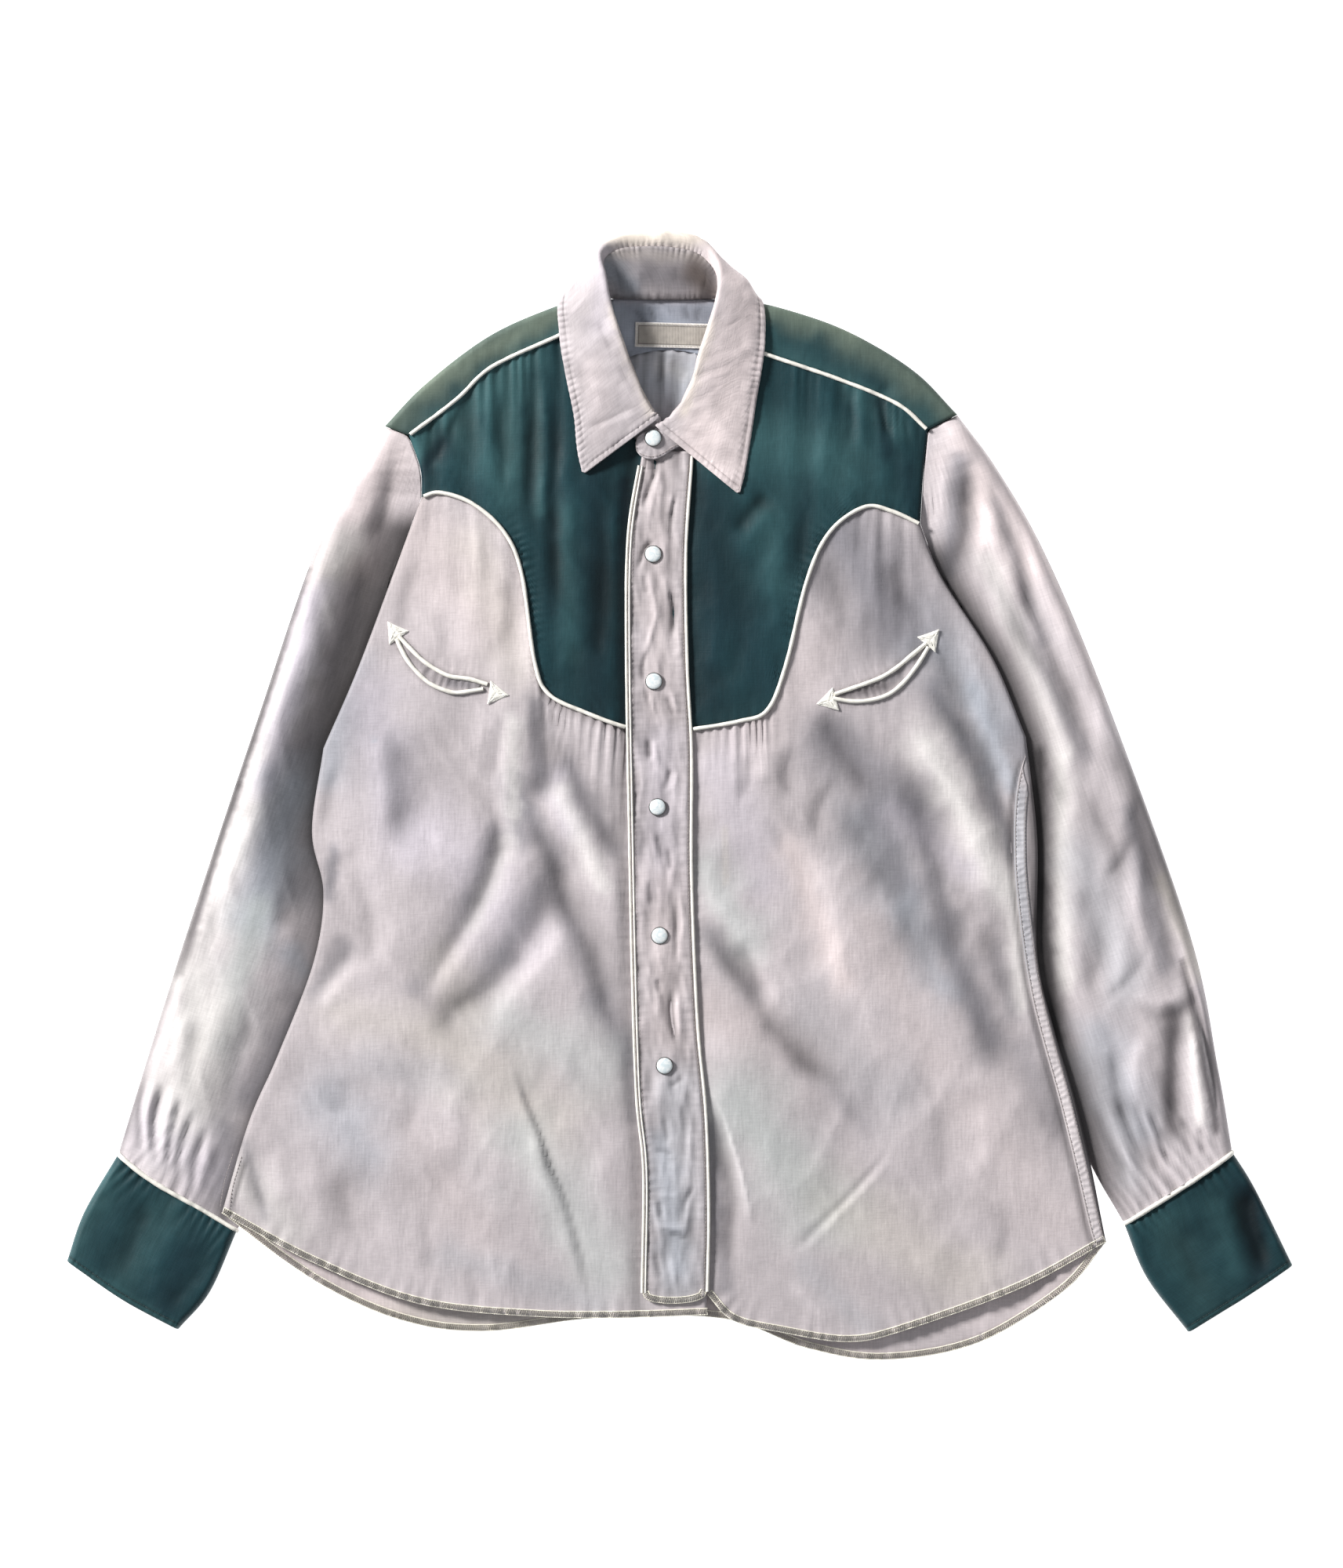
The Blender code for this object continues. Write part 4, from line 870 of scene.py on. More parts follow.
neck_label = cloth("neck_label", label_points, label_tones, woven_tape(), thick=0.4)
placed(neck_label, "label_tape", "label")
label_flat = label_points[..., :2]
label_rows = [label_flat[2, 2:-2], label_flat[2:-2, 2], label_flat[-3, 2:-2], label_flat[2:-2, -3]]
cream_thread = satin("cream_thread", (0.70, 0.66, 0.55), 0.03)
for number, row in enumerate(label_rows, start=1):
    row = np.column_stack([row, np.full(len(row), LABEL["level"] + 0.45)])
    stitches("label_stitches_%d" % number, row, cream_thread, "label_tape", 2.2)


# ---------------------------------------------------------------- sleeves
# Each sleeve is a tube of faded gabardine pressed flat, sewn into the armhole, tucked under the side of
# the body and gathered into its cuff. Long soft folds run down it.

OUT = {"left": 1, "right": -1}      # sign of the distance that moves a line down each side outwards
SLEEVE_GAP = 0.5
SLEEVE_UNDER = 3.0      # height of the part that the body lies on
SLEEVE_CROWN = 13.0
CUFF_CROWN = 9.0
EDGE_HALF = 1.6         # half the height of the pressed edges
PIPING = 1.4            # radius of the piping
SLEEVE_OUTSIDE = {
    "left": [(-206, 260), (-250, 185), (-296, 53), (-345, -95), (-376, -194), (-393, -250)],
    "right": [(195, 268), (223, 230), (257, 170), (299, 70), (358, -95), (378, -190), (388, -249)],
}
SLEEVE_INSIDE = {
    "left": [(-249, 34), (-234, -24), (-231, -90), (-251, -180), (-282, -250), (-310, -304)],
    "right": [(243, 42), (231, -20), (231, -85), (248, -165), (285, -250), (312, -299)],
}
CUFF_SEAM = {
    "left": [(-393, -250), (-370, -268), (-338, -287), (-310, -304)],
    "right": [(388, -249), (358, -270), (312, -299)],
}
SLEEVE_CREASES = [
    # left sleeve
    ((-243, 174, -257, 133, -272, 92, -286, 45, -299, 1, -312, -43, -327, -87, -340, -135), 11, 3.6, 0.2),
    ((-222, 180, -232, 130, -241, 86, -252, 31, -259, -25, -266, -72, -278, -120), 17, -3.6, -0.2),
    ((-283, -82, -270, -109, -258, -127), 9, 3.2), ((-258, -128, -270, -152, -282, -174, -296, -203), 11, -2.6),
    ((-299, -138, -311, -175, -320, -211, -326, -244), 10, -1.3), ((-288, -138, -301, -172, -310, -211), 8, 1.2),
    ((-258, 162, -282, 87, -309, 10, -336, -72, -351, -132), 3, -2.2),
    ((-321, -57, -329, -90, -339, -123), 7, -1.2), ((-345, -139, -354, -172, -363, -200), 9, 2),
    ((-337, -150, -344, -183, -349, -216), 8, -1.1), ((-388, -192, -389, -222, -389, -245), 3.4, -2.2),
    ((-373, -187, -379, -219, -377, -254), 3.4, -2.6), ((-366, -192, -373, -222, -373, -254), 3, 2.2),
    ((-359, -196, -368, -226, -367, -259), 3.4, -2.8), ((-353, -200, -362, -233, -362, -263), 3, 2),
    ((-348, -205, -357, -238, -359, -266), 3, -2.4), ((-339, -216, -350, -248, -351, -273), 3, -2.4),
    ((-330, -227, -340, -258, -343, -278), 3, -2.2), ((-326, -233, -336, -260, -338, -280), 3, 1.8),
    ((-320, -241, -330, -273, -332, -286), 3, -2), ((-198, 251, -206, 213, -217, 174), 8, -2.4),
    ((-208, 251, -218, 213, -232, 174), 9, 1.8),
    # right sleeve
    ((196, 243, 198, 210, 193, 180, 185, 151), 8, -4.4), ((184, 240, 182, 204, 178, 174), 4, 2.2),
    ((206, 243, 221, 207, 233, 176, 243, 142, 255, 107, 270, 77, 283, 46, 292, 15), 5, -3.2, 0.2),
    ((205, 224, 218, 180, 230, 147, 244, 112, 257, 85), 7, 2.4),
    ((218, 235, 238, 195, 255, 155, 274, 115, 292, 74, 306, 35, 320, -5), 8, 3),
    ((220, 163, 238, 120, 252, 92, 267, 67, 280, 34, 287, 4), 7, -3.2),
    ((208, 171, 222, 126, 239, 92, 255, 64, 268, 34, 278, -1), 8, 2.8), ((238, 39, 257, 16, 273, -12), 5, -2.6),
    ((292, 61, 309, 18, 320, -18, 329, -51, 333, -84, 339, -115, 349, -148), 10, -3.2, 0.2),
    ((301, 17, 314, -23, 319, -57, 321, -90, 329, -128), 7, 2.4),
    ((353, -130, 345, -157, 342, -186, 344, -218, 349, -249), 7, -3.8),
    ((359, -148, 360, -186, 365, -222, 371, -249), 6, 3.4),
    ((350, -109, 362, -149, 371, -189, 377, -236), 2.6, -3.4, 0.3),
    ((334, -60, 349, -97, 361, -131, 372, -172), 5, 2.8), ((314, -143, 334, -152, 353, -148, 365, -133), 5, -1.5),
    ((314, -135, 337, -143, 353, -136), 4, 1.8),
    ((268, 26, 266, -21, 266, -68, 271, -117, 280, -175, 289, -218), 8, 4),
    ((284, 9, 294, -20, 305, -46, 309, -68), 6, -2.4), ((320, -20, 311, -40, 295, -61), 5, -1.3),
    ((280, -57, 289, -100, 285, -139), 8, -2.2), ((292, -143, 315, -124, 330, -103), 5, -1.2),
    ((298, -62, 304, -106, 305, -150), 9, 2), ((316, -161, 320, -189, 319, -216), 8, 2),
    ((301, -172, 305, -205, 311, -233), 7, -2.2), ((289, -211, 301, -241, 317, -275), 4, -2.6),
    ((295, -207, 308, -238, 322, -273), 3.4, 2), ((304, -203, 316, -237, 329, -270), 3.4, -2.6),
    ((317, -211, 327, -241, 337, -267), 3.4, -2.6), ((322, -213, 331, -238, 341, -264), 3, 2),
    ((328, -213, 337, -240, 345, -262), 3.2, -2.4), ((351, -222, 355, -244, 359, -256), 3.2, -2.2),
    ((362, -227, 365, -244, 369, -252), 3, -2),
]
# faded places on the sleeves, with painted shade (dusk, shade, umber) in troughs, beside the body and along the
# outer edges, and painted highlights (pale) along ridges
SLEEVE_FADES_AND_SHADE = [
    # left sleeve
    (-204, 240, -245, 152, 26, "rose", 0.7), (-234, 174, -311, -35, 13, "pale", 0.75),
    (-311, -35, -349, -156, 15, "pale", 0.6), (-226, 150, -250, 31, 17, "umber", 0.55),
    (-228, 141, -256, 31, 13, "dusk", 0.5), (-254, 141, -288, 9, 11, "lilac", 0.8),
    (-256, 31, -261, -62, 15, "dusk", 0.6), (-270, 9, -295, -84, 16, "steel", 0.8),
    (-295, -79, -322, -172, 14, "sage", 0.7), (-272, -109, -263, -122, 9, "steel", 0.5),
    (-265, -145, -300, -211, 11, "dusk", 0.65), (-311, -172, -322, -233, 9, "dusk", 0.35),
    (-261, 159, -309, 9, 3.4, "shade", 0.75), (-309, 9, -349, -123, 4.4, "shade", 0.8),
    (-330, -150, -350, -225, 24, "pale", 0.9), (-353, -139, -377, -194, 6, "mauve", 0.6),
    (-372, -233, -322, -266, 20, "lilac", 0.5), (-317, -233, -322, -282, 10, "dusk", 0.5),
    # right sleeve
    (200, 251, 239, 163, 20, "rose", 0.6), (210, 225, 214, 180, 8, "blush", 0.6),
    (239, 207, 305, 75, 13, "rose", 0.7), (196, 235, 188, 158, 8, "dusk", 0.75),
    (221, 207, 255, 108, 4, "dusk", 0.4), (239, 119, 283, 31, 7, "dusk", 0.45), (217, 163, 266, 37, 8, "pale", 0.5),
    (267, 26, 268, -128, 8, "pale", 0.75), (253, 31, 253, -62, 5, "shade", 0.85),
    (253, -62, 264, -167, 6, "shade", 0.9), (316, -13, 338, -117, 8, "dusk", 0.6),
    (283, -46, 310, -128, 18, "grey", 0.6), (343, -150, 343, -233, 7, "shade", 0.6),
    (358, -156, 365, -227, 5, "pale", 0.5), (294, -167, 321, -233, 16, "steel", 0.5),
    (283, -183, 316, -266, 12, "grey", 0.5), (352, -115, 376, -233, 3, "shade", 0.7),
    (338, -57, 365, -123, 6, "beige", 0.6),
]


def sleeve_folds(side, x, y):
    """The relief of a sleeve: long folds, small dents, and gathers at the cuff and the armhole."""
    out = -inside(x, y)
    deep = 2.7 if side == "right" else 0.9
    gathers = puckers(x, y, smooth(CUFF_SEAM[side], 20), 7.6, 32, deep, 51)
    gathers += puckers(x, y, smooth(CUFF_SEAM[side], 20), 5.4, 8, 0.6, 55)
    gathers += puckers(x, y, smooth(ARMHOLE[side][:4], 16), 9, 20, 1.6, 52)
    loose = creased(x, y, SLEEVE_CREASES) + rumple(x * 1.3, y * 0.6, 53)
    return loose * ease((out - 2) / 26) + gathers * ease((out - 1) / 8)


def sleeve_height(side, x, y):
    """The height of a sleeve's upper face over the middle of the sleeve, before its edges are rounded."""
    out = -inside(x, y)
    head = 1 - over_sleeve(x, y - 25)
    edge = SLEEVE_UNDER + (ARMHOLE_EDGE - 1.4 - SLEEVE_UNDER) * head
    crown = SLEEVE_CROWN + (CUFF_CROWN + 0.6 - SLEEVE_CROWN) * ease((-150 - y) / 100)
    rise = ease((out - 2) / (30 if side == "right" else 52))
    return edge + (crown - edge) * rise + sleeve_folds(side, x, y)


def flat_tube(points, top, roll):
    """A tube pressed flat: over its upper face, and back along the floor. roll is the radius of its edges."""
    wide = np.linalg.norm(points[:, -1] - points[:, 0], axis=1)[:, None]
    share = np.linspace(0, 1, points.shape[1])[None, :]
    share = warp(share)
    to_edge = np.minimum(share, 1 - share) * wide
    over = EDGE_HALF + (top - EDGE_HALF) * rounded(to_edge, roll)
    under = EDGE_HALF * (1 - rounded(to_edge, 3.0))
    low = np.dstack([points, under])[:, -2:0:-2]
    high = np.dstack([points, over])
    return np.concatenate([high, low, high[:, :1]], axis=1)


def warp(share):
    """Packs the columns of a tube closer together near its two edges."""
    return 0.45 * share + 0.55 * (0.5 - 0.5 * np.cos(math.pi * share))


def warped(points):
    """The rows of a patch with their points moved closer together near the edges."""
    share = np.linspace(0, 1, points.shape[1])
    return np.stack([np.column_stack([np.interp(warp(share), share, row[:, k]) for k in (0, 1)]) for row in points])


def tube_grain(grid):
    """Thread directions on a tube: round it across, and down it along."""
    round_it = np.linalg.norm(np.diff(grid, axis=1), axis=2)
    down = np.linalg.norm(np.diff(grid, axis=0), axis=2).mean(axis=1)
    across = np.concatenate([np.zeros((len(grid), 1)), np.cumsum(round_it, axis=1)], axis=1)
    along = np.concatenate([[0], np.cumsum(down)])
    return np.dstack([across, np.broadcast_to(along[:, None], across.shape)])


def sleeve_grain(side, grid):
    """Thread directions on a sleeve: across it, and down it from the armhole to the cuff."""
    way = np.mean(CUFF_SEAM[side], axis=0) - np.mean(ARMHOLE[side][:4], axis=0)
    way /= np.linalg.norm(way)
    x, y = grid[..., 0], grid[..., 1]
    return np.dstack([x * way[1] - y * way[0], x * way[0] + y * way[1]])


def sleeve_tones(side, x, y, folds):
    """The tints of a sleeve: painted light and shade on its folds, painted shade where the body covers it and along
    its outer edge below the yoke.
    """
    colour = worn_and_shaded(faded_and_shaded(x, y, "mauve", SLEEVE_FADES_AND_SHADE), 1.25 * folds)
    below = over_sleeve(x, y)
    high = ease((y + 210) / 240)
    # painted shade on the sleeve where it goes under the body's edge
    covered = ((4, 0.5), (18 + 16 * high, 0.5 + 0.36 * high)) if side == "left" else ((13, 0.8), (26, 0.5))
    colour = colour * 1.14
    for width, strength in covered:
        colour = shaded_along(colour, inside(x, y), width, strength * below)
    # painted shade along the sleeve's outer edge, where it turns under
    rim = gap_to(smooth(SLEEVE_OUTSIDE[side], 80), x, y)
    return shaded_along(colour, rim, 4.4, (0.6 if side == "left" else 0.3) * ease((240 - y) / 120))


SLEEVE_ROWS = 230
SLEEVE_COLUMNS = 61
sleeve_gabardine = gabardine("sleeve_gabardine", 0.10, 0.06, 0.14)
for side, out in OUT.items():
    hole = ARMHOLE[side]
    arm = join(smooth(hole[:2], 8), smooth(hole[1:4], 18), smooth(hole[3:], 34))
    arm = moved_in(smooth(arm, SLEEVE_COLUMNS - 1), out * SLEEVE_GAP)
    wrist = moved_in(smooth(CUFF_SEAM[side], SLEEVE_COLUMNS - 1), -out * PIPING)
    outer, inner = smooth(SLEEVE_OUTSIDE[side], SLEEVE_ROWS), smooth(SLEEVE_INSIDE[side], SLEEVE_ROWS)
    outer[0], inner[0], outer[-1], inner[-1] = arm[0], arm[-1], wrist[0], wrist[-1]
    shape = warped(patch(arm, wrist, outer, inner))
    x, y = shape[1:, :, 0], shape[1:, :, 1]
    clear = np.interp(y, *OUTLINE[side]) - out * 1.5 * ease((np.arange(1, len(shape)) / 6))[:, None]
    beside = y > ARMHOLE[side][3][1] - 60
    pushed = np.minimum(x, clear) if side == "left" else np.maximum(x, clear)
    x[:] = np.where(beside, pushed, x)
    top = sleeve_height(side, shape[..., 0], shape[..., 1])
    roll = 10 if side == "left" else 9
    grid = flat_tube(shape, top, roll)
    if side == "right":
        grid = grid[:, ::-1]
    x, y, z = grid.transpose(2, 0, 1)
    tones = sleeve_tones(side, x, y, sleeve_folds(side, x, y) * (z > 2))
    sleeve = cloth("sleeve_cloth_" + side, grid, tones, sleeve_gabardine, grain=sleeve_grain(side, grid), tube=True)
    placed(sleeve, "sleeve_cloth", "sleeve_" + side)
    cut = 0.103 if side == "left" else 0.114


# ---------------------------------------------------------------- cuffs
# Green cuffs of two layers, pressed flat, with a row of stitches a little in from their end and a cord of
# cream piping all round their seam. Their seams have drawn them into small puckers.

CUFF_OUTSIDE = {
    "left": [(-393, -250), (-417, -291), (-429, -325)],
    "right": [(388, -249), (404, -275), (430, -328)],
}
CUFF_INSIDE = {
    "left": [(-310, -304), (-329, -347), (-351, -373)],
    "right": [(312, -299), (328, -337), (357, -375)],
}
CUFF_END = {
    "left": [(-429, -325), (-390, -352), (-351, -373)],
    "right": [(430, -328), (399, -349), (357, -375)],
}
CUFF_CREASES = [
    ((-372, -275, -392, -318, -400, -340), 9, -1.8), ((-350, -290, -366, -326, -376, -356), 8, 1.4),
    ((-330, -305, -345, -335, -362, -362), 7, -1.2), ((394, -262, 399, -300, 405, -335), 9, -3.4, -0.2),
    ((404, -268, 414, -300, 420, -322), 7, 1.8), ((372, -275, 384, -310, 398, -344), 9, 1.6),
    ((345, -290, 356, -330, 372, -362), 9, -1.3),
]
# worn places on the cuffs; deep teal is painted shade in the troughs of their folds
CUFF_FADES_AND_SHADE = [
    (-400, -265, -430, -320, 12, "worn and highlit teal", 0.5), (-360, -290, -390, -340, 14, "worn and highlit teal", 0.35),
    (-345, -320, -365, -365, 12, "deep teal", 0.5), (398, -275, 405, -335, 10, "deep teal", 0.9),
    (340, -300, 365, -350, 14, "worn and highlit teal", 0.5), (375, -285, 390, -330, 10, "worn and highlit teal", 0.3),
    (430, -328, 357, -375, 4, "worn and highlit teal", 0.5), (-429, -325, -351, -373, 4, "worn and highlit teal", 0.5),
]
CUFF_ROWS = 64
green_thread = satin("green_thread", (0.012, 0.035, 0.04), 0.03)
CUFF_STITCH = 4.0


def cuff_row(side, steps):
    """The row of stitches a little in from a cuff's end."""
    return moved_in(smooth(CUFF_END[side], steps), -OUT[side] * CUFF_STITCH)


def cuff_folds(side, x, y):
    """The relief of a cuff: dents, gathers under the piping, and small puckers along the stitches."""
    ends, seam = cuff_row(side, 20), smooth(CUFF_SEAM[side], 20)
    top = creased(x, y, CUFF_CREASES) + 0.45 * unevenness(x, y, 19, 61) + 0.25 * unevenness(x, y, 8, 64)
    top += puckers(x, y, moved_in(ends, OUT[side] * 2), 3.8, 3.4, 0.9, 62)
    top += puckers(x, y, seam, 6.2, 13, 1.2, 63)
    return top - 0.6 * bell(gap_to(ends, x, y), 0.7)


def cuff_height(side, x, y):
    """The height of a cuff's upper face, which thins out at its end and at its seam."""
    end_gap = gap_to(smooth(CUFF_END[side], 20), x, y)
    seam_gap = gap_to(smooth(CUFF_SEAM[side], 20), x, y)
    thinned = CUFF_CROWN + cuff_folds(side, x, y) - 1.3 * (1 - ease(np.abs(end_gap) / 3))
    return thinned - 1.6 * (1 - ease(np.abs(seam_gap) / 5))


for side, out in OUT.items():
    wrist = moved_in(smooth(CUFF_SEAM[side], SLEEVE_COLUMNS - 1), out * PIPING * 0.8)
    end = smooth(CUFF_END[side], SLEEVE_COLUMNS - 1)
    outer, inner = smooth(CUFF_OUTSIDE[side], CUFF_ROWS), smooth(CUFF_INSIDE[side], CUFF_ROWS)
    outer[0], inner[0] = wrist[0], wrist[-1]
    shape = warped(patch(wrist, end, outer, inner))
    grid = flat_tube(shape, cuff_height(side, shape[..., 0], shape[..., 1]), 5)
    if side == "right":
        grid = grid[:, ::-1]
    x, y = grid[..., 0], grid[..., 1]
    # painted light and shade on the cuff's folds, and painted shade along its row of stitches
    tones = worn_and_shaded(faded_and_shaded(x, y, "teal", CUFF_FADES_AND_SHADE), 2 * cuff_folds(side, x, y))
    tones = shaded_along(tones, gap_to(cuff_row(side, 20), x, y), 0.6, 0.5)
    cuff = cloth("cuff_cloth_" + side, grid, tones, green_gabardine, 1.1, tube_grain(grid), tube=True)
    placed(cuff, "green_cloth", "cuff_" + side)
    row = laid(cuff_row(side, 80)[3:-3], partial(cuff_height, side), 0.2)
    stitches("cuff_stitches_" + side, row, green_thread, "green_cloth", 2.4)


piping_satin = satin("piping_satin", (0.97, 0.945, 0.87), 0.02)


def cord(name, nodes, points, radius=PIPING, closed=False):
    """A round cord of piping along the points, a little thicker and thinner by turns."""
    fat = 1 + 0.08 * unevenness(np.arange(len(points)) * 1.0, np.zeros(len(points)), 3.0, 71)
    return placed(tubes(name, [points], radius, piping_satin, 3, closed, fat), "piping", *nodes)


def evened(levels):
    """Heights along a cord that lies over the cloth's puckers without following each of them."""
    reach = 4
    padded = np.pad(levels, reach, mode="edge")
    spans = np.stack([padded[k : k + len(levels)] for k in range(2 * reach + 1)])
    return 0.5 * (spans.mean(axis=0) + spans.max(axis=0))


CUFF_CORD = 1.7         # radius of the cuffs' cord
for side in ("left", "right"):
    line = smooth(CUFF_SEAM[side], 60)
    middle = line[1:-1]
    height = np.minimum(sleeve_height(side, middle[:, 0], middle[:, 1]), CUFF_CROWN + 0.4)
    height = evened(height) + 0.6
    to_edge = np.linalg.norm(middle - line[0], axis=1)
    to_edge = np.minimum(to_edge, np.linalg.norm(middle - line[-1], axis=1))
    over = np.column_stack([middle, EDGE_HALF + (height - EDGE_HALF) * rounded(to_edge, 7)])
    under = np.column_stack([line, np.full(len(line), CUFF_CORD)])[-2:0:-1]
    ends = np.column_stack([line, np.full(len(line), EDGE_HALF + 0.5)])
    loop = np.vstack([ends[:1], over, ends[-1:], under])
    cord("cuff_cord_" + side, ["cuff_piping_" + side], loop, CUFF_CORD, closed=True)


# ---------------------------------------------------------------- fronts
# Two fronts of faded gabardine hang from the scooped yoke seams. The left one runs on under the placket.
# The sides curl down to the side seams; on the right a felled seam shows just inside the edge.

UNDERLAP_EDGE = [(4, 234), (2, 130), (5, 30), (5, -100), (12, -220), (20, -362)]
FRONT_HEM = {
    "left": [(-320, -291), (-257, -325), (-183, -354), (-105, -363), (-40, -364), (20, -362)],
    "right": [(299, -311), (240, -343), (164, -371), (120, -381), (70, -374), (38, -366), (20, -348)],
}
FELLED_SEAM = {
    "right": [(242.6, 29), (239, 18), (236, 3), (234.7, -15), (234.6, -35), (235.4, -57), (239.8, -97),
              (246.4, -138), (254, -169), (266, -212), (277, -257), (287, -300), (290.5, -312)],
    "left": [(-305, -252), (-311, -272), (-314, -290)],
}
FELL_WIDTH = 8.6
FELL_RISE = 0.65        # the felled allowance stands this much above the front
FELL_ROWS = (1.2, FELL_WIDTH - 1.0)     # its two rows of stitches, from its inner edge
FELL_FADES = [(236, 0, 240, -120, 12, "grey", 0.8), (246, -130, 290, -312, 12, "pale", 0.15)]
POCKET_LINES = {
    ("left", "upper"): [(-196, 112.5), (-187.6, 103.6), (-179.3, 95.6), (-169.6, 89), (-159.8, 84.4),
                        (-146.9, 82.6), (-134, 78.9)],
    ("left", "lower"): [(-197.5, 110.5), (-195, 104.5), (-189.2, 94.5), (-182.6, 86.8), (-174.4, 79.6),
                        (-164.7, 75), (-154.8, 73), (-137, 75.5)],
    ("right", "upper"): [(173, 107.5), (162, 98.5), (153, 91), (143, 84.5), (131, 79.5), (109, 72)],
    ("right", "lower"): [(174.5, 105), (168, 94), (158, 81), (147, 72), (134, 67.8), (121, 67), (108, 69)],
}
# faded places on the fronts, with painted shade (dusk) along troughs and beside the placket, and painted highlights
# (pale) along ridges
FRONT_FADES_AND_SHADE = [
    # left front
    (-190, 196, -135, 125, 34, "rose", 0.6), (-141, 174, -113, 92, 18, "beige", 0.35),
    (-234, 92, -245, 15, 14, "steel", 0.6), (-222, 66, -204, 12, 22, "dusk", 0.5),
    (-114, 12, -112, -26, 11, "dusk", 0.7), (-84, 14, -74, -20, 12, "lilac", 0.6),
    (-215, 70, -190, -35, 22, "lilac", 0.45), (-170, -29, -113, -90, 26, "lilac", 0.5),
    (-101, 64, -97, 9, 8, "dusk", 0.6), (-109, -7, -89, -40, 8, "dusk", 0.5),
    (-85, -68, -57, -139, 9, "dusk", 0.45), (-56, -145, -36, -178, 12, "dusk", 0.6),
    (-78, 23, -47, -38, 8, "dusk", 0.45), (-129, -24, -146, -73, 7, "dusk", 0.5),
    (-146, -73, -185, -134, 8, "dusk", 0.4), (-91, -51, -124, -112, 9, "dusk", 0.55),
    (-124, -112, -168, -161, 9, "dusk", 0.5), (-116, 53, -116, -13, 6, "pale", 0.6),
    (-119, -29, -144, -90, 7, "pale", 0.4), (-82, 4, -53, -62, 7, "pale", 0.55),
    (-202, 36, -196, -24, 9, "dusk", 0.45), (-241, -38, -246, -68, 5, "dusk", 0.7),
    (-234, -106, -256, -137, 8, "dusk", 0.5), (-240, -150, -174, -164, 16, "beige", 0.35),
    (-168, -112, -141, -156, 14, "beige", 0.3), (-245, -211, -215, -249, 22, "steel", 0.5),
    (-218, -189, -152, -200, 16, "grey", 0.4), (-152, -178, -91, -227, 26, "beige", 0.5),
    (-119, -156, -53, -189, 24, "sage", 0.5), (-108, -238, -53, -332, 24, "sage", 0.6),
    (-36, -172, -33, -222, 6, "dusk", 0.5), (-190, -238, -141, -299, 22, "rose", 0.35),
    (-311, -260, -273, -304, 16, "pale", 0.5), (-304, -244, -290, -293, 5, "dusk", 0.45),
    (-240, -288, -163, -337, 22, "mauve", 0.4), (-160, -321, -58, -356, 12, "grey", 0.4),
    # right front
    (46, 37, 101, 108, 26, "rose", 0.4), (112, 184, 153, 119, 32, "dusk", 0.9),
    (107, 42, 162, -7, 22, "dusk", 0.75), (129, -18, 158, -72, 20, "steel", 0.5),
    (137, -10, 158, -60, 15, "dusk", 0.7), (164, -7, 186, -84, 9, "dusk", 0.6),
    (184, -96, 218, -172, 13, "dusk", 0.8), (156, -79, 184, -134, 12, "steel", 0.5),
    (178, 75, 211, 20, 9, "dusk", 0.7), (212, 20, 232, -40, 7, "dusk", 0.8), (206, 75, 231, 9, 9, "steel", 0.6),
    (173, 37, 228, -62, 13, "pale", 0.8), (233, -62, 239, -145, 7, "pale", 0.6),
    (222, -106, 233, -150, 6, "dusk", 0.4), (184, 103, 228, 48, 22, "steel", 0.5),
    (150, -10, 200, -51, 10, "lilac", 0.4), (30, 20, 60, -60, 20, "lilac", 0.45),
    (79, -38, 115, -128, 12, "rose", 0.8), (19, -49, 46, -101, 16, "sage", 0.6),
    (21, -95, 52, -139, 8, "dusk", 0.45), (74, -172, 129, -227, 12, "dusk", 0.35),
    (19, -150, 90, -178, 26, "rose", 0.5), (41, -216, 101, -288, 28, "sage", 0.75),
    (90, -161, 151, -211, 22, "grey", 0.35), (129, -90, 178, -183, 20, "rose", 0.35),
    (239, -178, 266, -233, 14, "dusk", 0.4), (211, -222, 266, -299, 26, "rose", 0.4),
    (118, -291, 200, -337, 26, "beige", 0.45), (21, -233, 32, -343, 7, "dusk", 0.6),
    (30, -310, 63, -359, 14, "mauve", 0.4), (90, -332, 129, -370, 12, "grey", 0.4),
    (233, 48, 239, 31, 8, "dusk", 0.5),
]
STAINS = [
    (-118, 176, -117, 175, 1.6, "dusk", 0.5), (-214, 41, -213, 40, 1.4, "steel", 0.6),
    (18, -286, 19, -287, 1.2, "dusk", 0.4), (32, -22, 33, -60, 2, "beige", 0.4),
    (-110, -208, -109, -209, 1.6, "dusk", 0.35),
]


GATHERS = {
    # under each yoke seam: spacing, reach, rise, seed, and from where to where along x
    "left": [(6.2, 38, 3.2, 82, -104, -26), (8.5, 40, 0.5, 83, -186, -118), (21, 110, 0.7, 84, -230, -60)],
    "right": [(6.2, 26, 2.6, 82, 2, 70), (7.5, 30, 0.7, 83, 112, 176), (17, 90, 0.7, 84, 60, 230)],
}


def fell(side, x, y):
    """How far a place is from the inner edge of the felled side seam, outwards, and how far along it."""
    away, run = along_line(smooth(FELLED_SEAM[side], 60), x, y)
    return -OUT[side] * away, run


